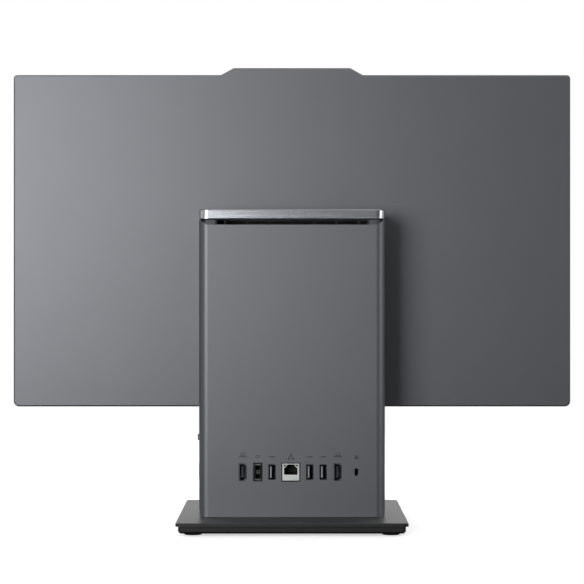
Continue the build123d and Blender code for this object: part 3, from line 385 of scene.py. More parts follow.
@dataclass(frozen=True)
class PowderCoat(Finish):
    """Steel plate with a baked powder coat: a low orange peel and a fine, sandy sparkle."""

    def surface(self, tree: Tree, shader: Node) -> None:
        """Dress the shader with orange peel under fine sand.

        Args:
            tree: The material's node tree.
            shader: Its shader.
        """
        # the sand is near its real size, and the orange peel under it is five times as wide
        sand = mottle(tree, self.grain_mm, 2)
        peel = mottle(tree, 5 * self.grain_mm, 1)
        height = add(tree, "ShaderNodeMath", {"operation": "ADD"}, {0: sand, 1: peel})
        sockets = {
            "Base Color": self.tint(tree, sand),
            "Roughness": self.dullness(tree, sand, -0.06, 0.06),
            "Normal": self.marks(tree, height),
        }
        plug(tree, shader, sockets)


@dataclass(frozen=True)
class Metal(Finish):
    """Sheet or turned metal: nickel plate, zinc plate, gold or aluminium, by its colour.

    Attributes:
        streak_mm: Size of the rolling or brushing marks along X, Y and Z.
        anisotropy: How far those marks stretch a highlight.
        smear_mm: Size of the duller smears of handling.
    """

    streak_mm: Triple = (0.6, 0.6, 0.6)
    anisotropy: float = 0.0
    smear_mm: float = 12.0

    def surface(self, tree: Tree, shader: Node) -> None:
        """Dress the shader with streaks along the way that the metal was worked.

        Args:
            tree: The material's node tree.
            shader: Its shader.
        """
        # brushing and rolling leave lines under 0.1 mm apart; they are drawn coarser, so that they show
        streaks = mottle(tree, self.streak_mm, 3, 0.6)
        smears = {0: mottle(tree, self.smear_mm, 2), 6: streaks, 7: (0.5, 0.5, 0.5, 1)}
        smeared = add(tree, "ShaderNodeMix", COLOURS, smears).outputs[2]
        sockets = {
            "Base Color": self.tint(tree, streaks),
            "Roughness": self.dullness(tree, smeared, -0.06, 0.06),
            "Normal": self.marks(tree, streaks),
            "Metallic": 1.0,
            "Anisotropic": self.anisotropy,
        }
        plug(tree, shader, sockets)


@dataclass(frozen=True)
class BevelledMetal(Metal):
    """Brushed metal with painted shade on its upper bevel, which keeps the lamp above from drawing a bright
    line there.

    Attributes:
        bevel: How bright the upper bevel's painted shade leaves it, as a share of the face's colour.
    """

    bevel: float = 0.35

    def surface(self, tree: Tree, shader: Node) -> None:
        """Dress the shader as brushed metal, then darken what leans up between face and top with painted
        shade.

        Args:
            tree: The material's node tree.
            shader: Its shader.
        """
        super().surface(tree, shader)
        face = shader.inputs["Base Color"].links[0].from_socket
        # painted shade: what leans up is darkened, so that the lamp above shows no bright line on the bevel
        normal = add(tree, "ShaderNodeNewGeometry").outputs["Normal"]
        upward = add(tree, "ShaderNodeSeparateXYZ", {}, {0: normal}).outputs[2]
        leans = {"Value": upward, "From Min": 0.25, "From Max": 0.6}
        level = {"Value": upward, "From Min": 0.85, "From Max": 0.97, "To Min": 1.0, "To Max": 0.0}
        both = {n: add(tree, "ShaderNodeMapRange", {}, part) for n, part in enumerate((leans, level))}
        upper_bevel_mask = add(tree, "ShaderNodeMath", {"operation": "MULTIPLY"}, both)
        painted_bevel_shade = {0: upper_bevel_mask, 6: face, 7: shade(self.colour, self.bevel)}
        plug(tree, shader, {"Base Color": add(tree, "ShaderNodeMix", COLOURS, painted_bevel_shade).outputs[2]})


@dataclass(frozen=True)
class Rubber(Finish):
    """Moulded silicone rubber: dull, a little dusty, with a soft sheen at grazing light."""

    def surface(self, tree: Tree, shader: Node) -> None:
        """Dress the shader with dust and a sheen.

        Args:
            tree: The material's node tree.
            shader: Its shader.
        """
        lying = {"Value": mottle(tree, 3, 4, 0.65), "From Min": 0.4, "From Max": 0.8}
        dust = add(tree, "ShaderNodeMapRange", {}, lying)
        dusted = {0: dust, 6: linear(self.colour), 7: shade(self.colour, 1.8)}
        sockets = {
            "Base Color": add(tree, "ShaderNodeMix", COLOURS, dusted).outputs[2],
            "Normal": self.marks(tree, mottle(tree, self.grain_mm)),
            "Sheen Weight": 0.15,
            "Sheen Roughness": 0.5,
        }
        plug(tree, shader, sockets)


@dataclass(frozen=True)
class CircuitBoard(Finish):
    """Glass-epoxy board under solder mask: copper tracks show as a slightly lighter maze of lines."""

    def surface(self, tree: Tree, shader: Node) -> None:
        """Dress the shader with raised tracks.

        Args:
            tree: The material's node tree.
            shader: Its shader.
        """
        # real tracks are about 0.2 mm wide; they are drawn coarser, so that they show
        place = object_place(tree, (self.grain_mm,) * 3)
        pattern = {"distance": "CHEBYCHEV", "feature": "F1"}
        cells = add(tree, "ShaderNodeTexVoronoi", pattern, {"Vector": place, "Scale": 0.3})
        waves = add(tree, "ShaderNodeMath", {"operation": "PINGPONG"}, {0: cells, 1: 0.12})
        edges = {"Value": waves, "From Min": 0.03, "From Max": 0.06, "To Min": 1.0, "To Max": 0.0}
        tracks = add(tree, "ShaderNodeMapRange", {}, edges)
        copper = {0: tracks, 6: linear(self.colour), 7: shade(self.colour, 1.7)}
        sockets = {
            "Base Color": add(tree, "ShaderNodeMix", COLOURS, copper).outputs[2],
            "Normal": self.marks(tree, tracks),
            "Coat Weight": 0.3,
        }
        plug(tree, shader, sockets)


@dataclass(frozen=True)
class Glass(Finish):
    """Glass bonded over a black mask, with a coat that dims reflections: deep black with a soft gloss."""

    def surface(self, tree: Tree, shader: Node) -> None:
        """Dress the shader with a trace of unevenness under a smooth coat.

        Args:
            tree: The material's node tree.
            shader: Its shader.
        """
        roughness = self.dullness(tree, mottle(tree, 90, 2), -0.03, 0.03)
        plug(tree, shader, {"Roughness": roughness, "Coat Weight": 1.0, "Coat Roughness": 0.04})


@dataclass(frozen=True)
class Pane(Finish):
    """The screen: a glass pane over a black mask whose lit area is a shade greyer than its border.

    Attributes:
        half_mm: Half width of the lit area.
        rows_mm: Lowest and highest edge of the lit area.
        border: The border's sRGB hex code.
    """

    half_mm: float = 263.0
    rows_mm: tuple[float, float] = (131.0, 424.0)
    border: str = "#050506"

    def surface(self, tree: Tree, shader: Node) -> None:
        """Dress the shader with the lit area, its border and an anti-glare haze.

        Args:
            tree: The material's node tree.
            shader: Its shader.
        """
        place = add(tree, "ShaderNodeTexCoord").outputs["Object"]
        axes = add(tree, "ShaderNodeSeparateXYZ", {}, {0: place}).outputs
        across = add(tree, "ShaderNodeMath", {"operation": "ABSOLUTE"}, {0: axes[0]})
        low, high = (row * MM for row in self.rows_mm)
        lit: float | Node = 1.0
        for test, value, limit in (
            ("LESS_THAN", across, self.half_mm * MM),
            ("GREATER_THAN", axes[2], low),
            ("LESS_THAN", axes[2], high),
        ):
            inside = add(tree, "ShaderNodeMath", {"operation": test}, {0: value, 1: limit})
            lit = add(tree, "ShaderNodeMath", {"operation": "MULTIPLY"}, {0: lit, 1: inside})
        # anti-glare etching is a few microns across; it is drawn as a low haze instead
        haze = mottle(tree, self.grain_mm, 2)
        area = {0: lit, 6: linear(self.border), 7: linear(self.colour)}
        sockets = {
            "Base Color": add(tree, "ShaderNodeMix", COLOURS, area).outputs[2],
            "Roughness": self.dullness(tree, haze, -0.02, 0.03),
        }
        plug(tree, shader, sockets)


# Satin lacquer on PC-ABS: mid grey that runs from silver to graphite as the light leaves it.
HOUSING = Lacquer("satin_flake_lacquer_on_pc_abs", "#6b6c70", 0.46, depth_mm=0.012, vary=0.03, flake=0.74)
# The same lacquer with less flake, below the screen and on the lid: quieter and a little darker.
CHIN = Lacquer("satin_flake_lacquer_chin", "#66676b", 0.44, depth_mm=0.01, vary=0.03)
CAP = Lacquer("satin_flake_lacquer_lid", "#5f6064", 0.5, depth_mm=0.012, vary=0.03)
# Brushed and anodised aluminium: fine lines along the band that stretch each highlight, and painted shade on
# the upper bevel.
BAND = BevelledMetal(
    "brushed_anodised_aluminium", "#c2c6cc", 0.2, 0.3, 0.001, 0.015, streak_mm=(90, 90, 0.35), anisotropy=0.4
)
# Baked powder coat on steel: near black, sandy, brighter where it is seen at a low angle.
BASE = PowderCoat("powder_coated_steel_plate", "#1b1c1d", 0.46, 0.5, 0.02, 0.08)
# Spark-textured ABS: black to dark grey, with no highlight of its own.
TRAY = SparkedPlastic("spark_textured_abs_tray", "#121213", 0.6, 0.7, 0.03, 0.06)
FRAME = SparkedPlastic("spark_textured_abs_frame", "#2a2b2e", 0.45, 0.6, 0.02, 0.05)
BEZEL = SparkedPlastic("textured_abs_bezel", "#0e0e10", 0.4, 0.5, 0.02, 0.06)
# Silicone rubber: dusty black feet that stay dull in any light. The speaker cloth looks the same.
FOOT = Rubber("moulded_silicone_rubber", "#222324", 0.75, 0.5, 0.02)
# Glass-filled polycarbonate: the black throat under the bright band.
DUCT = Duct("glass_filled_polycarbonate_duct", "#0c0c0d", 0.6, 0.8, 0.03, 0.06)
# Plain black mouldings inside: a soft, low gloss that shows their ribs.
SPEAKER = Finish("moulded_abs_speaker_box", "#141416", 0.5, 0.6, 0.02)
FAN = Finish("glass_filled_nylon_fan", "#17181a", 0.4, 0.5, 0.01)
# Rolled and zinc-plated steel: cool grey, softly streaked by rolling.
STEEL = Metal("zinc_plated_rolled_steel", "#9a9da2", 0.34, 0.5, 0.004, 0.06, streak_mm=(0.8, 14, 14))
# Ground steel: darker, with tight rings of grinding that sharpen its highlight.
PIVOT = Metal("ground_hinge_steel", "#84878c", 0.26, 0.5, 0.002, 0.05, streak_mm=(0.3, 6, 6))
# Black oxide on screw steel: dark, with a dim metal edge.
SCREW = Metal("black_oxide_screw_steel", "#3f4144", 0.36, 0.3, 0.003, 0.08)
# Nickel-plated sheet: bright and slightly warm, with soft smears.
NICKEL = Metal("nickel_plated_shield", "#d2d4d3", 0.45, 0.3, 0.0008, 0.03)
# Black nickel on port shells: a dark rim that only just parts the mouth from the wall.
DARK_NICKEL = Metal("black_nickel_shell", "#606368", 0.42, 0.4, 0.001, 0.04)
BLACK_NICKEL = Metal("black_nickel_receptacle", "#323437", 0.42, 0.4, 0.001, 0.04)
# Gold flash on contacts: small warm glints deep in the mouths.
GOLD = Metal("gold_plated_contact", "#d8b468", 0.25, 0.3, 0.002, 0.05)
# Copper pipe under a worn plating: warm, with marks of drawing along its length.
HEAT_PIPE = Metal("nickel_plated_heat_pipe", "#b58463", 0.3, 0.6, 0.004, 0.06, streak_mm=(12, 12, 0.6))
# Stamped aluminium: pale and even.
FINS = Metal("stamped_aluminium_fins", "#b4b7ba", 0.38, 0.4, 0.003, 0.05)
# Plated lid and battery can: smooth, with a clear highlight.
SPREADER = Metal("nickel_plated_copper_lid", "#b9babb", 0.3, 0.4, 0.003, 0.05)
CELL = Metal("stainless_battery_can", "#c3c4c2", 0.28, 0.4, 0.002, 0.04)
# Folded aluminium behind the screen: broad streaks from the coil.
MODULE = Metal("folded_aluminium_tray", "#a2a5a8", 0.42, 0.6, 0.004, 0.05, streak_mm=(16, 16, 0.8))
# Copper foil: thin, warm and slightly creased.
FOIL = Metal("copper_foil_antenna", "#c58a5c", 0.32, 0.5, 0.004, 0.06)
# Nylon and crystal polymer in the sockets: black throats, with tongues that show as grey bars.
SOCKET = Finish("moulded_nylon_socket", "#070808", 0.78, 0.4, 0.002)
TONGUE_GREY = Finish("moulded_lcp_tongue_grey", "#9c9d9f", 0.5, 0.4, 0.01)
TONGUE_BLACK = Finish("moulded_lcp_tongue_black", "#2c2e31", 0.45, 0.4, 0.01)
LATCH = Finish("moulded_pbt_latch", "#626467", 0.5, 0.4, 0.005)
# Smoked light pipe: grey and glossy while it is unlit.
LIGHT_PIPE = Finish("moulded_smoked_light_pipe", "#6a6c66", 0.25, 0.5, 0.004)
# Solder mask: green on the large boards, black where the shutter's slot shows the board.
BOARD = CircuitBoard("solder_mask_on_glass_epoxy", "#12402f", 0.35, 1.0, 0.03)
BLACK_BOARD = CircuitBoard("black_solder_mask_on_glass_epoxy", "#0d0f0f", 0.4, 1.0, 0.03)
# Etched screen glass: a dark grey sheet that blurs the window it reflects.
SCREEN = Pane("anti_glare_screen_glass", "#0c0d0f", 0.16, 2.0)
# Coated camera glass: deep black with a small sharp glint.
LENS = Glass("coated_camera_glass", "#08080c", 0.06)
# Pad-printed ink: flat, thin and slightly uneven.
INK = Finish("pad_printed_grey_ink", "#36373a", 0.55, 0.4, 0.002)
PALE_INK = Finish("pad_printed_pale_ink", "#b9babd", 0.55, 0.4, 0.002)


# ---- Meshes -----------------------------------------------------------------------------------------


@dataclass(frozen=True)
class Face:
    """A flat place on the object, measured in millimetres across, up and out of it.

    Attributes:
        origin: The place's zero, in metres.
        across: The way that counts as across.
        up: The way that counts as up.
    """

    origin: Vector
    across: Vector
    up: Vector

    def at(self, across: float, up: float, out: float) -> Vector:
        """Give a point in the model's frame, in metres."""
        outward = self.across.cross(self.up)
        return self.origin + MM * (across * self.across + up * self.up + out * outward)


def rear_face(x: float, y: float, z: float) -> Face:
    """Give a face that looks along +Y, with -X as across; the point is in metres."""
    return Face(Vector((x, y, z)), Vector((-1, 0, 0)), Vector((0, 0, 1)))


def side_face(x: float, y: float, z: float) -> Face:
    """Give a face that looks along +X, with +Y as across; the point is in metres."""
    return Face(Vector((x, y, z)), Vector((0, 1, 0)), Vector((0, 0, 1)))


def front_face(x: float, y: float, z: float) -> Face:
    """Give a face that looks along -Y, with +X as across; the point is in metres."""
    return Face(Vector((x, y, z)), Vector((1, 0, 0)), Vector((0, 0, 1)))


def under_face(x: float, y: float, z: float) -> Face:
    """Give a face that looks along -Z, with +X as across; the point is in metres."""
    return Face(Vector((x, y, z)), Vector((1, 0, 0)), Vector((0, -1, 0)))


def skin(mesh: bmesh.types.BMesh, rings: Sequence[Sequence[bmesh.types.BMVert]]) -> None:
    """Close a stack of rings of points with a floor, a roof and walls.

    Args:
        mesh: The mesh that holds the points.
        rings: The rings from floor to roof, each with as many points.
    """
    mesh.faces.new(rings[-1])
    mesh.faces.new(list(reversed(rings[0])))
    for low, high in zip(rings, rings[1:]):
        for i in range(len(low)):
            j = (i + 1) % len(low)
            mesh.faces.new((low[i], low[j], high[j], high[i]))


class Relief:
    """Small raised shapes on a face, gathered into one mesh."""

    def __init__(self, face: Face, low: float, high: float) -> None:
        """Start with an empty mesh.

        Args:
            face: Where the shapes lie.
            low: How far out of the face they start, in millimetres.
            high: How far out they end.
        """
        self.face, self.low, self.high = face, low, high
        self.mesh = bmesh.new()

    def shape(self, outline: Sequence[Point], low: float | None = None, high: float | None = None) -> Relief:
        """Raise a closed outline that runs counter-clockwise.

        Args:
            outline: Its corners, in millimetres across and up.
            low: Where it starts, if not at the relief's own low.
            high: Where it ends, if not at the relief's own high.

        Returns:
            The relief itself.
        """
        ends = (self.low if low is None else low, self.high if high is None else high)
        rings = [[self.mesh.verts.new(self.face.at(u, v, out)) for u, v in outline] for out in ends]
        skin(self.mesh, rings)
        return self

    def bar(self, start: Point, end: Point, width: float, **heights: float) -> Relief:
        """Raise a straight bar between two points.

        Args:
            start: The middle of its first end.
            end: The middle of its last end.
            width: Its width.
            heights: Its low and high, if not the relief's own.

        Returns:
            The relief itself.
        """
        first, last = Vector(start), Vector(end)
        run = last - first
        side = Vector((-run.y, run.x)).normalized() * width / 2
        corners = (first - side, last - side, last + side, first + side)
        return self.shape([(c.x, c.y) for c in corners], **heights)

    def block(self, middle: Point, width: float, height: float, **heights: float) -> Relief:
        """Raise a rectangle about its middle."""
        u, v = middle
        return self.bar((u - width / 2, v), (u + width / 2, v), height, **heights)

    def disc(self, middle: Point, radius: float, sides: int) -> Relief:
        """Raise a disc about its middle."""
        return self.shape(arc_points(middle, radius, 0, 360, sides)[:-1])

    def ring(
        self, middle: Point, radius: float, width: float, start: float = 0.0, sweep: float = 360.0
    ) -> Relief:
        """Raise a round line, or a part of one.

        Args:
            middle: The ring's middle.
            radius: The radius of the line's middle.
            width: The line's width.
            start: The angle at which it starts, in degrees.
            sweep: How far it goes round, in degrees.

        Returns:
            The relief itself.
        """
        steps = max(8, int(abs(sweep) / 12))
        near = arc_points(middle, radius - width / 2, start, sweep, steps)
        far = arc_points(middle, radius + width / 2, start, sweep, steps)
        for i in range(steps):
            self.shape((near[i], far[i], far[i + 1], near[i + 1]))
        return self

    def frame(self, middle: Point, width: float, height: float, line: float) -> Relief:
        """Raise the outline of a rectangle.

        Args:
            middle: The rectangle's middle.
            width: Its outer width.
            height: Its outer height.
            line: The line's width.

        Returns:
            The relief itself.
        """
        u, v = middle
        for side in (-1, 1):
            self.block((u, v + side * (height - line) / 2), width, line)
            self.block((u + side * (width - line) / 2, v), line, height - 2 * line)
        return self

    def finish(
        self, name: str, finish: Finish, body: Body, slot: str, bevel_mm: float = 0.0
    ) -> bpy.types.Object:
        """Turn the shapes into a piece that rides on a body."""
        return piece_from(self.mesh, name, finish, body, bevel_mm)


def arc_points(middle: Point, radius: float, start: float, sweep: float, steps: int) -> list[Point]:
    """Give the points of an arc, counter-clockwise.

    Args:
        middle: The arc's middle.
        radius: Its radius.
        start: The angle of its first point, in degrees.
        sweep: How far it goes round, in degrees.
        steps: How many runs it has.

    Returns:
        The points, with both ends.
    """
    angles = [math.radians(start + sweep * i / steps) for i in range(steps + 1)]
    return [(middle[0] + radius * math.cos(a), middle[1] + radius * math.sin(a)) for a in angles]


def piece_from(
    mesh: bmesh.types.BMesh, name: str, finish: Finish, body: Body, bevel_mm: float = 0.0
) -> bpy.types.Object:
    """Turn a mesh into a named piece that rides on a body.

    Args:
        mesh: The mesh, in metres; it is freed.
        name: The piece's name.
        finish: Its finish.
        body: The body that it rides on.
        bevel_mm: Width of the broken edges, or zero.

    Returns:
        The new object.
    """
    bmesh.ops.remove_doubles(mesh, verts=mesh.verts, dist=1e-7)
    bmesh.ops.recalc_face_normals(mesh, faces=mesh.faces)
    data = bpy.data.meshes.new(name)
    mesh.to_mesh(data)
    mesh.free()
    data.shade_smooth()
    made = bpy.data.objects.new(name, data)
    bpy.context.scene.collection.objects.link(made)
    data.materials.append(finish.material())
    break_edges(made, bevel_mm)
    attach(made, body.value)
    LOG.info("piece %s on %s", name, body.value)
    return made


def break_edges(target: bpy.types.Object, width_mm: float, segments: int = 2) -> None:
    """Weld a mesh and round its sharp edges, so that they catch light as real ones do.

    Args:
        target: The object that gets the modifiers.
        width_mm: Width of the rounding, or zero for crisp flats only.
        segments: How many facets the rounding has.
    """
    weld = target.modifiers.new("weld", "WELD")
    weld.merge_threshold = 1e-6
    if width_mm > 0:
        bevel = target.modifiers.new("broken_edges", "BEVEL")
        bevel.width = width_mm * MM
        bevel.segments = segments
        bevel.limit_method = "ANGLE"
        bevel.angle_limit = math.radians(32)
        bevel.loop_slide = False
    even = target.modifiers.new("flat_faces_stay_flat", "WEIGHTED_NORMAL")
    even.mode = "FACE_AREA"
    even.weight = 100
    even.keep_sharp = width_mm <= 0


def turned(
    places: Sequence[Vector], axis: Vector, profile: Sequence[tuple[Radius, float]], sides: int = 48
) -> bmesh.types.BMesh:
    """Build the same turned body at several places.

    Args:
        places: Where each body's foot is, in metres.
        axis: The way that the bodies point.
        profile: Rings from foot to tip: radius in millimetres by angle, and height in millimetres.
        sides: How many points each ring has.

    Returns:
        The mesh with all bodies.
    """
    mesh = bmesh.new()
    turn = Vector((0, 0, 1)).rotation_difference(axis).to_matrix()
    for place in places:
        rings = []
        for radius, height in profile:
            ring = []
            for i in range(sides):
                angle = 2 * math.pi * i / sides
                reach = radius(angle)
                point = Vector((reach * math.cos(angle), reach * math.sin(angle), height))
                ring.append(mesh.verts.new(place + MM * (turn @ point)))
            rings.append(ring)
        skin(mesh, rings)
    return mesh


def constant(radius: float) -> Radius:
    """Give a ring of one radius."""
    return lambda angle: radius


def six_lobed(radius: float) -> Radius:
    """Give a ring with six lobes, as in a screw's star socket."""
    return lambda angle: radius * (1 + 0.13 * math.cos(6 * angle))


# ---- Sub-assemblies ---------------------------------------------------------------------------------


@dataclass
class Cladding:
    """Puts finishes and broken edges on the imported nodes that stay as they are.

    Attributes:
        nodes: The frame's node objects by name.
    """

    nodes: dict[str, bpy.types.Object]

    def dress(self, finish: Finish, edge_mm: float, *names: str, segments: int = 2) -> None:
        """Give some nodes one finish and one edge rounding.

        Args:
            finish: The finish for all of them.
            edge_mm: Width of the rounding.
            names: The nodes.
            segments: How many facets the rounding has.
        """
        for name in names:
            node = self.nodes[name]
            node.data.materials.clear()
            node.data.materials.append(finish.material())
            for polygon in node.data.polygons:
                polygon.use_smooth = True
                polygon.material_index = 0
            break_edges(node, edge_mm, segments)
            LOG.info("node %s in %s", name, finish.name)

    def housing(self) -> None:
        """Dress the lacquered covers, the band, the lid and the duct."""
        self.dress(HOUSING, 0.3, "column_rear_cover", "column_front_cover")
        self.dress(HOUSING, 0.6, "display_rear_cover", segments=3)
        self.dress(CHIN, 0.25, "chin_trim")
        self.dress(BAND, 0.15, "top_band")
        self.dress(CAP, 0.25, "top_cap")
        self.dress(DUCT, 0.2, "exhaust_neck")

    def base(self) -> None:
        """Dress the plate, the tray and the feet."""
        self.dress(BASE, 0.25, "base_plate")
        self.dress(TRAY, 0.5, "base_tray")
        self.dress(FOOT, 0.5, "rubber_feet")

    def hinge(self) -> None:
        """Dress the steel that carries and tilts the display."""
        self.dress(STEEL, 0.25, "stand_bracket", "display_bracket", "hinge_base")
        self.dress(PIVOT, 0.3, "hinge_shaft", "friction_washers")

    def ports(self) -> None:
        """Dress the port shells, tongues, sockets and the power button."""
        self.dress(DARK_NICKEL, 0.08, "rear_hdmi_port_1", "rear_hdmi_port_2", "lock_plate", "power_inlet_pin")
        self.dress(BLACK_NICKEL, 0.08, *RearPorts.USB)
        self.dress(NICKEL, 0.12, "ethernet_jack", "side_usb_a_port", "side_usb_c_port")
        self.dress(SOCKET, 0.15, "ethernet_insert", "power_inlet", "audio_jack", "power_switch")
        self.dress(TONGUE_GREY, 0.15, "usb_tongues")
        self.dress(TONGUE_BLACK, 0.15, "hdmi_tongues")
        self.dress(HOUSING, 0.2, "power_button")

    def display(self) -> None:
        """Dress the display's frame, bezel, module, glass and small boards."""
        self.dress(FRAME, 0.25, "middle_frame")
        self.dress(BEZEL, 0.2, "front_bezel", "camera_shutter")
        self.dress(MODULE, 0.3, "lcd_module")
        self.dress(SCREEN, 0.15, "lcd_glass")
        self.dress(BOARD, 0.1, "converter_board")
        self.dress(BLACK_BOARD, 0.1, "camera_board")
        self.dress(LENS, 0.1, "camera_lens")
        self.dress(FOIL, 0.05, "wifi_antennas")
        self.dress(SPEAKER, 0.4, "speaker_left", "speaker_right")

    def computer(self) -> None:
        """Dress the boards, the cooler and what sits on the boards."""
        self.dress(BOARD, 0.1, "system_board", "memory_module_1", "memory_module_2")
        self.dress(BOARD, 0.1, "storage_drive", "wifi_card")
        self.dress(SPREADER, 0.3, "cpu")
        self.dress(FINS, 0.1, "fin_stack", "heat_sink")
        self.dress(HEAT_PIPE, 0.4, "heat_pipe")
        self.dress(FAN, 0.2, "fan_housing", "fan_impeller")
        self.dress(CELL, 0.3, "coin_cell")
        self.dress(SCREW, 0.15, "board_screws")

    def build(self) -> None:
        """Dress everything, from the outside in."""
        for step in (self.housing, self.base, self.hinge, self.ports, self.display, self.computer):
            step()


@dataclass(frozen=True)
class ScrewGroup:
    """Four star-socket screws that stand for a node of plain ones.

    Attributes:
        node: The node that they stand for.
        body: The body that they ride on.
        axis: The way from head to tip.
        head_mm: Head radius and height.
        shank_mm: Shank radius and length.
    """

    node: str
    body: Body
    axis: Triple
    head_mm: tuple[float, float]
    shank_mm: tuple[float, float]

    def spots(self) -> list[Vector]:
        """Find the middle of each head's outer face from the node's box.

        Returns:
            The four places, in metres.
        """
        low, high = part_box(self.node)
        radius = self.head_mm[0] * MM
        outer = low if sum(self.axis) > 0 else high
        across = (low.x + radius, high.x - radius)
        if self.axis[2]:
            return [Vector((x, y, outer.z)) for x in across for y in (low.y + radius, high.y - radius)]
        return [Vector((x, outer.y, z)) for x in across for z in (low.z + radius, high.z - radius)]

    def build(self) -> None:
        """Turn the screws and let them stand for the node."""
        radius, height = self.head_mm
        shank, length = self.shank_mm
        socket = 0.52 * radius
        # from the star socket's floor up its wall, over the domed head and down the shank
        profile = [
            (six_lobed(socket * 0.96), 0.62 * height),
            (six_lobed(socket), 0.12),
            (six_lobed(socket * 1.06), 0.0),
            (constant(radius * 0.82), 0.0),
            (constant(radius * 0.94), 0.12 * height),
            (constant(radius), 0.34 * height),
            (constant(radius), height),
            (constant(shank), height),
            (constant(shank), height + length - 0.4),
            (constant(shank - 0.3), height + length),
        ]
        mesh = turned(self.spots(), Vector(self.axis), profile)
        made = piece_from(mesh, f"{self.node}_star_socket", SCREW, self.body)
        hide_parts(self.node)


@dataclass
class Fasteners:
    """The groups of screws that can be seen."""

    groups: tuple[ScrewGroup, ...] = (
        ScrewGroup("base_screws", Body.STAND, (0, 0, 1), (4.0, 2.6), (2.0, 7.7)),
        ScrewGroup("cover_screws", Body.STAND, (0, 1, 0), (3.0, 1.0), (1.4, 18.0)),
        ScrewGroup("hinge_screws", Body.STAND, (0, 1, 0), (2.6, 1.2), (1.5, 5.6)),
        ScrewGroup("bracket_screws", Body.DISPLAY, (0, -1, 0), (3.4, 1.6), (1.8, 6.5)),
    )

    def build(self) -> None:
        """Make every group."""
        for group in self.groups:
            group.build()


@dataclass
class RearPorts:
    """Contacts, trim and printed signs of the ports in the column's rear wall.

    Attributes:
        sign_gap: Height of the signs over the middle of the ports, in millimetres.
        line: Width of a printed line.
        ink: Thickness of the print.
        usb_contact: Thickness and height of a USB contact.
        usb_pitch: From one USB contact to the next.
        hdmi_contact: Thickness and height of an HDMI contact.
        pin_count: How many wires the network socket has.
        pin_pitch: From one wire to the next.
        pin_half: Half width and half height of a wire.
        pin_ends: Height and depth of a wire's front and back end.
        pipe_corners: Outline of the light pipe in the socket's right upper corner.
        painted_gap_shadow: Outer size and line width of the black frame of painted shadow round the network
            socket.
        rib: Width and height of a rib under the socket's mouth.
        rib_rows: Height of the first rib and the way to the next.
        sleeve: Radius and thickness of the power socket's sleeve.
        latch: Height over the middle, width and thickness of the power socket's latches.
    """

    USB = ("rear_usb_port_1", "rear_usb_port_2", "rear_usb_port_3")
    HDMI = ("rear_hdmi_port_1", "rear_hdmi_port_2")

    sign_gap: float = 14.3
    line: float = 0.45
    ink: float = 0.04
    usb_contact: Point = (0.12, 1.3)
    usb_pitch: float = 2.5
    hdmi_contact: Point = (0.12, 0.5)
    pin_count: int = 8
    pin_pitch: float = 1.02
    pin_half: Point = (0.2, 0.18)
    pin_ends: tuple[Point, Point] = ((-2.9, -2.0), (-1.2, -9.0))
    pipe_corners: tuple[Point, ...] = ((5.0, 5.1), (6.9, 5.1), (6.9, 7.0), (3.7, 7.0))
    painted_gap_shadow: Point = (17.6, 0.85)
    rib: Point = (12.4, 0.35)
    rib_rows: Point = (-4.6, -1.15)
    sleeve: Point = (1.5, 0.36)
    latch: Triple = (7.1, 5.6, 1.1)

    def __post_init__(self) -> None:
        """Take the wall's face and the ports' places from the frame."""
        _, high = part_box("column_rear_cover")
        jack_low, jack_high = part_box("ethernet_jack")
        middle = (jack_low + jack_high) / 2
        self.wall = rear_face(0, high.y, middle.z)
        self.mouth = rear_face(0, jack_high.y, middle.z)
        self.jack = self._x("ethernet_jack")

    def _x(self, node: str) -> float:
        """Give a port's place across the wall, in millimetres."""
        low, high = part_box(node)
        return -(low.x + high.x) / 2 / MM

    def signs(self) -> None:
        """Print a small plain sign over each port."""
        print_on = Relief(self.wall, 0.0, self.ink)
        for node in self.USB:
            self._plug_sign(print_on, self._x(node))
        for node in self.HDMI:
            self._screen_sign(print_on, self._x(node))
        self._network_sign(print_on, self.jack)
        self._direct_current_sign(print_on, self._x("power_inlet"))
        self._padlock_sign(print_on, self._x("lock_plate"))
        print_on.finish("rear_port_signs", INK, Body.STAND, "housing_grey")

    def _plug_sign(self, ink: Relief, u: float) -> None:
        """Draw a flat plug: a bar with a short tail."""
        ink.block((u + 0.6, self.sign_gap), 4.6, 1.0)
        ink.block((u - 2.6, self.sign_gap), 1.6, self.line)

    def _screen_sign(self, ink: Relief, u: float) -> None:
        """Draw a small screen over a long foot."""
        ink.frame((u, self.sign_gap + 2.4), 4.0, 2.6, self.line)
        ink.block((u, self.sign_gap), 8.0, 0.8)

    def _network_sign(self, ink: Relief, u: float) -> None:
        """Draw three linked boxes.

        Args:
            ink: The relief to draw in.
            u: The sign's middle across the wall.
        """
        v = self.sign_gap
        ink.block((u, v + 1.8), 1.7, 1.7)
        for side in (-1, 1):
            ink.block((u + side * 2.0, v - 1.8), 1.7, 1.7)
            ink.block((u + side * 2.0, v - 0.6), self.line, 0.9)
        ink.block((u, v), 4.4, self.line)
        ink.block((u, v + 0.5), self.line, 1.0)

    def _direct_current_sign(self, ink: Relief, u: float) -> None:
        """Draw a line over three dashes.

        Args:
            ink: The relief to draw in.
            u: The sign's middle across the wall.
        """
        thick = self.line + 0.1
        ink.block((u, self.sign_gap + 0.9), 4.4, thick)
        for n in (-1, 0, 1):
            ink.block((u + n * 1.6, self.sign_gap - 0.5), 1.1, thick)

    def _padlock_sign(self, ink: Relief, u: float) -> None:
        """Draw a closed padlock."""
        ink.block((u, self.sign_gap - 0.9), 3.4, 2.5)
        ink.ring((u, self.sign_gap + 0.5), 1.1, self.line, 0, 180)

    def contacts(self) -> None:
        """Lay gold strips on the USB and HDMI tongues."""
        gold = Relief(self.mouth, -9.0, 0.0)
        for u in map(self._x, self.USB):
            for n in range(4):
                v = (1.5 - n) * self.usb_pitch
                gold.block((u - 0.36, v), *self.usb_contact, low=-8.0, high=-1.6)
        for u in map(self._x, self.HDMI):
            for n in range(10):
                for side in (-0.85, 0.85):
                    gold.block((u - 0.3 + side, 4.5 - n), *self.hdmi_contact, low=-8.0, high=-2.2)
        gold.finish("rear_port_contacts", GOLD, Body.STAND, "pin_brass")

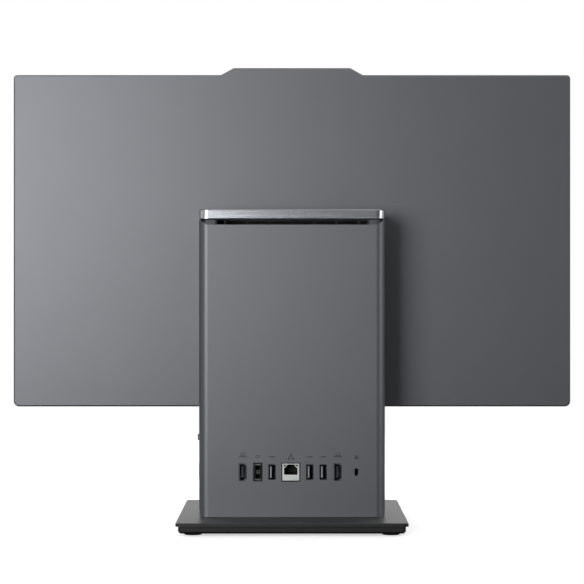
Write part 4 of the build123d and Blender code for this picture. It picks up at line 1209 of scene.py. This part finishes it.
    def network_pins(self) -> None:
        """Make the sprung wires of the network socket, which slope up into its mouth."""
        pins = bmesh.new()
        half_u, half_v = self.pin_half
        corners = ((-half_u, -half_v), (half_u, -half_v), (half_u, half_v), (-half_u, half_v))
        for n in range(self.pin_count):
            u = self.jack + (n - (self.pin_count - 1) / 2) * self.pin_pitch
            ends = [[self.mouth.at(u + a, v + b, w) for a, b in corners] for v, w in self.pin_ends]
            skin(pins, [[pins.verts.new(point) for point in end] for end in ends])
        piece_from(pins, "network_socket_pins", GOLD, Body.STAND)

    def light_pipes(self) -> None:
        """Set the two status lights in the network socket's upper corners."""
        pipes = Relief(self.mouth, 0.0, 0.06)
        pipes.shape([(self.jack - u, v) for u, v in reversed(self.pipe_corners)])
        pipes.shape([(self.jack + u, v) for u, v in self.pipe_corners])
        pipes.finish("network_socket_lights", LIGHT_PIPE, Body.STAND, "tongue_grey", 0.03)

    def network_trim(self) -> None:
        """Put a thin black frame of painted shadow round the network socket, where its gap to the wall is,
        and the pressed ribs under its mouth.
        """
        size, line = self.painted_gap_shadow
        # painted shadow: a black frame stands for the dark gap between the socket and the wall
        painted_gap_shadow = Relief(self.wall, -0.3, 0.06)
        painted_gap_shadow.frame((self.jack, 0), size, size, line)
        painted_gap_shadow.finish("network_socket_painted_gap_shadow", SOCKET, Body.STAND, "socket_black")
        ribs = Relief(self.mouth, 0.0, 0.07)
        first, step = self.rib_rows
        for n in range(3):
            ribs.block((self.jack, first + step * n), *self.rib)
        ribs.finish("network_socket_ribs", NICKEL, Body.STAND, "port_shell", 0.06)

    def power_contact(self) -> None:
        """Put the sleeve round the centre pin and the two latch lips of the power socket."""
        u = self._x("power_inlet")
        sleeve = Relief(self.mouth, -7.0, -0.4)
        sleeve.ring((u, 0), *self.sleeve)
        sleeve.finish("power_socket_sleeve", NICKEL, Body.STAND, "port_shell")
        away, width, thick = self.latch
        lips = Relief(self.mouth, -0.6, 0.08)
        for v in (-away, away):
            lips.block((u, v), width, thick)
        lips.finish("power_socket_latches", LATCH, Body.STAND, "tongue_grey", 0.1)

    def build(self) -> None:
        """Make everything on the rear wall."""
        self.signs()
        self.contacts()
        self.network_pins()
        self.light_pipes()
        self.network_trim()
        self.power_contact()


@dataclass
class SideControls:
    """Signs and contacts beside the power button and the side ports.

    Attributes:
        line: Width of a printed line.
        ink: Thickness of the print.
        sign_off: How far the signs lie beside their ports, in millimetres.
        usb_contact: Thickness and height of a USB-A contact.
        usb_pitch: From one USB-A contact to the next.
        usb_off: How far those contacts lie off the port's middle.
        usb_c_contact: Thickness and height of a USB-C contact.
        usb_c_pitch: From one USB-C contact to the next.
        usb_c_off: How far those contacts lie off the port's middle, to both sides.
    """

    line: float = 0.4
    ink: float = 0.04
    sign_off: float = -9.0
    usb_contact: Point = (0.1, 1.3)
    usb_pitch: float = 2.5
    usb_off: float = 0.28
    usb_c_contact: Point = (0.06, 0.3)
    usb_c_pitch: float = 0.6
    usb_c_off: float = 0.37

    def __post_init__(self) -> None:
        """Take the wall's face and the button's cap from the frame."""
        _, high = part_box("column_rear_cover")
        low_button, high_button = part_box("power_button")
        middle = (low_button + high_button) / 2
        self.wall = side_face(high.x, middle.y, 0)
        self.cap = side_face(high_button.x, middle.y, middle.z)

    def _z(self, node: str) -> float:
        """Give a port's height, in millimetres."""
        low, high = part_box(node)
        return (low.z + high.z) / 2 / MM

    def button_sign(self) -> None:
        """Print the open ring and the stroke that mean power on the button's cap."""
        mark = Relief(self.cap, 0.0, self.ink)
        mark.ring((0, 0), 1.25, self.line, 120, 300)
        mark.bar((0, 0.5), (0, 1.7), self.line)
        mark.finish("power_button_sign", PALE_INK, Body.BUTTON, "tongue_grey")

    def signs(self) -> None:
        """Print an earphone beside the audio jack and a plug beside each of the others."""
        signs = Relief(self.wall, 0.0, self.ink)
        u, v = self.sign_off, self._z("audio_jack")
        signs.ring((u, v), 1.5, self.line, 0, 180)
        for side in (-1.5, 1.5):
            signs.block((u + side, v - 0.6), 0.9, 1.5)
        for v in map(self._z, ("side_usb_c_port", "side_usb_a_port")):
            signs.block((u, v + 0.5), 1.1, 2.6)
            signs.block((u, v - 1.6), self.line, 1.2)
        signs.finish("side_port_signs", INK, Body.STAND, "housing_grey")

    def contacts(self) -> None:
        """Lay gold strips on the tongues of both side ports."""
        gold = Relief(self.wall, -6.0, -1.2)
        top = self._z("side_usb_a_port") + 1.5 * self.usb_pitch
        for n in range(4):
            gold.block((self.usb_off, top - self.usb_pitch * n), *self.usb_contact, low=-7.0, high=-0.8)
        bottom = self._z("side_usb_c_port") - 3.5 * self.usb_c_pitch
        for n in range(8):
            for u in (self.usb_c_off, -self.usb_c_off):
                gold.block((u, bottom + self.usb_c_pitch * n), *self.usb_c_contact, low=-4.0, high=-1.4)
        gold.finish("side_port_contacts", GOLD, Body.STAND, "pin_brass")

    def build(self) -> None:
        """Print the signs and fill the mouths."""
        self.button_sign()
        self.signs()
        self.contacts()


@dataclass
class CameraHead:
    """Glass, infrared windows, painted shade for the microphone holes, and the shutter grip at the top of the
    bezel.

    Attributes:
        glass_radius: Radius of the lens's front glass, in millimetres.
        iris_radius: Radius of the ring on that glass.
        windows: Place across, radius and number of sides of each infrared window.
        microphone_off: How far each microphone hole lies from the camera.
        microphone_radius: Radius of such a hole.
        grip_x: Where the shutter's grip is at rest.
        grip_pitch: From one rib of the grip to the next.
        grip_rib: Width and height of such a rib.
    """

    glass_radius: float = 1.85
    iris_radius: float = 1.0
    windows: tuple[tuple[float, float, int], ...] = ((-9.5, 1.7, 40), (-15.0, 0.7, 24))
    microphone_off: float = 32.0
    microphone_radius: float = 0.45
    grip_x: float = 16.0
    grip_pitch: float = 0.9
    grip_rib: Point = (0.3, 1.2)

    def build(self) -> None:
        """Make the small parts round the camera."""
        low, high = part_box("camera_lens")
        bezel_low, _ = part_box("front_bezel")
        tab_low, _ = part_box("camera_shutter")
        z = (low.z + high.z) / 2
        lens, face = front_face(0, low.y, z), front_face(0, bezel_low.y, z)
        glass = Relief(lens, -0.5, -0.25).disc((0, 0), self.glass_radius, 48)
        glass.finish("camera_front_glass", LENS, Body.DISPLAY, "lens_glass", 0.08)
        iris = Relief(lens, -0.25, -0.2).ring((0, 0), self.iris_radius, 0.25)
        iris.finish("camera_iris_ring", NICKEL, Body.DISPLAY, "port_shell")
        panes = Relief(face, 0.0, 0.03)
        for u, radius, sides in self.windows:
            panes.disc((u, 0), radius, sides)
        panes.finish("infrared_windows", LENS, Body.DISPLAY, "lens_glass")
        # the microphone holes are not cut: flat black discs are painted shade for their dark insides
        painted_hole_shade = Relief(face, 0.0, 0.02)
        for u in (-self.microphone_off, self.microphone_off):
            painted_hole_shade.disc((u, 0), self.microphone_radius, 20)
        painted_hole_shade.finish("microphone_hole_painted_shade", SOCKET, Body.DISPLAY, "socket_black")
        grip = Relief(front_face(self.grip_x * MM, tab_low.y, z), 0.0, 0.12)
        for n in (-1, 0, 1):
            grip.block((n * self.grip_pitch, 0), *self.grip_rib)
        grip.finish("shutter_grip_ribs", FRAME, Body.SHUTTER, "frame_black")


@dataclass
class SpeakerMesh:
    """Woven black cloth behind the sound slots in the display's lower edge.

    Attributes:
        size_mm: Length and depth of each strip.
        y_mm: Where the strips' middle line runs.
    """

    size_mm: Point = (69.0, 4.2)
    y_mm: float = -34.2

    def build(self) -> None:
        """Lay a thin strip behind the slots of each side."""
        for side in ("left", "right"):
            low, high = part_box(f"speaker_{side}")
            strip = Relief(under_face((low.x + high.x) / 2, self.y_mm * MM, low.z), -1.2, -1.0)
            strip.block((0, 0), *self.size_mm)
            strip.finish(f"speaker_cloth_{side}", FOOT, Body.DISPLAY, "speaker_black")


# ---- Studio -----------------------------------------------------------------------------------------


@dataclass(frozen=True)
class Lamp:
    """A soft rectangular lamp.

    Attributes:
        name: Its name.
        place: Where it hangs, in metres.
        target: What it points at.
        size: Width and height.
        watts: Its power.
    """

    name: str
    place: Triple
    target: Triple
    size: tuple[float, float]
    watts: float

    def hang(self) -> None:
        """Hang the lamp and point it at its target."""
        data = bpy.data.lights.new(self.name, "AREA")
        data.shape = "RECTANGLE"
        data.size, data.size_y = self.size
        data.energy = self.watts
        lamp = bpy.data.objects.new(self.name, data)
        bpy.context.scene.collection.objects.link(lamp)
        lamp.location = self.place
        way = Vector(self.target) - Vector(self.place)
        lamp.rotation_euler = way.to_track_quat("-Z", "Y").to_euler()


@dataclass
class Studio:
    """Pale floor, white surround, soft lamps and the camera.

    Attributes:
        camera_y: How far behind the object the camera stands, in metres.
        camera_z: Its height.
        lens: Focal length for a 36 mm sensor.
        rise: How far the picture is shifted up, as a share of its width.
        floor_reach: Half width of the floor.
        floor_glow: How much the paper near the object glows by itself.
        far_gloss: How bright the far paper is in gloss.
        diffuse_room: How bright the room is for soft light.
        lamps: The lamps: a broad key and a slim strip behind, one above, two before the screen.
    """

    camera_y: float = 1.765
    camera_z: float = 0.2225
    lens: float = 113.7
    rise: float = 0.002
    floor_reach: float = 12.0
    floor_glow: float = 0.54
    far_gloss: float = 0.36
    diffuse_room: float = 0.10
    lamps: tuple[Lamp, ...] = (
        Lamp("key", (0.8, 1.95, 0.48), (0.05, 0, 0.28), (0.85, 0.8), 23.5),
        Lamp("strip", (-1.7, 0.85, 0.5), (0, 0.03, 0.25), (0.45, 1.2), 5.5),
        Lamp("top", (0.0, 0.2, 2.2), (0, 0, 0.1), (3.4, 3.0), 20),
        Lamp("front_left", (-1.4, -1.9, 1.0), (0, 0, 0.25), (1.0, 1.2), 29),
        Lamp("front_right", (1.5, -1.7, 0.9), (0, 0, 0.25), (0.8, 1.2), 34),
    )

    def floor(self) -> None:
        """Lay a pale floor."""
        mesh = bpy.data.meshes.new("studio_floor")
        reach = self.floor_reach
        corners = [(x * reach, y * reach, 0) for x, y in ((-1, -1), (1, -1), (1, 1), (-1, 1))]
        mesh.from_pydata(corners, [], [(0, 1, 2, 3)])
        floor = bpy.data.objects.new("studio_floor", mesh)
        bpy.context.scene.collection.objects.link(floor)
        mesh.materials.append(self.paper())

    def paper(self) -> bpy.types.Material:
        """Make paper that reads as white and keeps the object's shadow.

        Returns:
            The new material.
        """
        material = bpy.data.materials.new("pale_paper_floor")
        material.use_nodes = True
        tree = material.node_tree
        tree.nodes.clear()
        seen, gloss = ray_kinds(tree)
        # near the object the paper takes its shadow; further out it is plain white
        place = add(tree, "ShaderNodeTexCoord").outputs["Object"]
        reach = add(tree, "ShaderNodeVectorMath", {"operation": "LENGTH"}, {0: place}).outputs["Value"]
        beyond = add(tree, "ShaderNodeMapRange", {}, {"Value": reach, "From Min": 0.45, "From Max": 1.1})
        looked = add(tree, "ShaderNodeMath", {"operation": "MAXIMUM"}, {0: seen, 1: gloss})
        away = add(tree, "ShaderNodeMath", {"operation": "MULTIPLY"}, {0: beyond, 1: looked})
        # polished metal shows the far paper too, as a pale grey
        far_ends = {"Value": gloss, "To Min": 1.0, "To Max": self.far_gloss}
        far_glow = add(tree, "ShaderNodeMapRange", {}, far_ends)
        far = add(tree, "ShaderNodeEmission", {}, {"Color": WHITE, "Strength": far_glow})
        # the paper throws little light back at the object, so that its shaded side stays dark
        greys = {0: seen, 6: (0.1, 0.1, 0.1, 1), 7: (0.95, 0.95, 0.95, 1)}
        colour = add(tree, "ShaderNodeMix", COLOURS, greys).outputs[2]
        paper = add(tree, "ShaderNodeBsdfDiffuse", {}, {"Color": colour})
        near_glow = add(tree, "ShaderNodeMath", {"operation": "MULTIPLY"}, {0: seen, 1: self.floor_glow})
        glow = add(tree, "ShaderNodeEmission", {}, {"Color": WHITE, "Strength": near_glow})
        near = add(tree, "ShaderNodeAddShader", {}, {0: paper, 1: glow})
        both = add(tree, "ShaderNodeMixShader", {}, {0: away, 1: near, 2: far})
        # from below the paper is clear, so that the underside can be looked at
        back = add(tree, "ShaderNodeNewGeometry").outputs["Backfacing"]
        clear = add(tree, "ShaderNodeBsdfTransparent")
        shown = add(tree, "ShaderNodeMixShader", {}, {0: back, 1: both, 2: clear})
        add(tree, "ShaderNodeOutputMaterial", {}, {"Surface": shown})
        return material

    def surround(self) -> None:
        """Light the room: white where the camera or glass looks, graded in gloss, dim elsewhere."""
        world = bpy.data.worlds.new("studio")
        world.use_nodes = True
        tree = world.node_tree
        tree.nodes.clear()
        seen, gloss = ray_kinds(tree)
        way = add(tree, "ShaderNodeTexCoord").outputs["Generated"]
        axes = add(tree, "ShaderNodeSeparateXYZ", {}, {0: way}).outputs
        # the room is dim straight behind the ports and lighter all round
        round_about = {"Value": axes[1], "From Min": 0.3, "From Max": 0.93, "To Min": 0.65, "To Max": 0.05}
        room = add(tree, "ShaderNodeMapRange", {}, round_about)
        # before the screen stands a bright window, from just above the horizon
        width = {"Value": axes[1], "From Min": -0.97, "From Max": -0.82, "To Min": 0.85, "To Max": 0.0}
        sill = {"Value": axes[2], "From Min": 0.02, "From Max": 0.09}
        both = {n: add(tree, "ShaderNodeMapRange", {}, part) for n, part in enumerate((width, sill))}
        window = add(tree, "ShaderNodeMath", {"operation": "MULTIPLY"}, both)
        graded = add(tree, "ShaderNodeMath", {"operation": "ADD"}, {0: room, 1: window})
        unseen = add(tree, "ShaderNodeMix", {}, {0: gloss, 2: self.diffuse_room, 3: graded})
        strength = add(tree, "ShaderNodeMix", {}, {0: seen, 2: unseen, 3: 1.0})
        sky = add(tree, "ShaderNodeBackground", {}, {"Color": WHITE, "Strength": strength})
        add(tree, "ShaderNodeOutputWorld", {}, {"Surface": sky})
        bpy.context.scene.world = world

    def camera(self) -> None:
        """Stand the camera level behind the object, looking along -Y."""
        data = bpy.data.cameras.new("camera")
        data.lens = self.lens
        data.sensor_width = 36.0
        data.shift_y = -self.rise
        data.clip_start, data.clip_end = 0.05, 60.0
        camera = bpy.data.objects.new("camera", data)
        bpy.context.scene.collection.objects.link(camera)
        turn = Matrix.Rotation(math.pi, 4, "Z") @ Matrix.Rotation(math.pi / 2, 4, "X")
        camera.matrix_world = Matrix.Translation((0.0, self.camera_y, self.camera_z)) @ turn
        bpy.context.scene.camera = camera

    def build(self) -> None:
        """Set up floor, surround, lamps and camera."""
        self.floor()
        self.surround()
        for lamp in self.lamps:
            lamp.hang()
        self.camera()
        bpy.context.scene.view_settings.view_transform = "Standard"


def main() -> None:
    """Build the dressed computer in order."""
    logging.basicConfig(level=logging.INFO, format="%(message)s")
    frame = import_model()
    Studio().build()
    Cladding(frame["nodes"]).build()
    for assembly in (Fasteners, RearPorts, SideControls, CameraHead, SpeakerMesh):
        assembly().build()


if __name__ == "__main__":
    main()
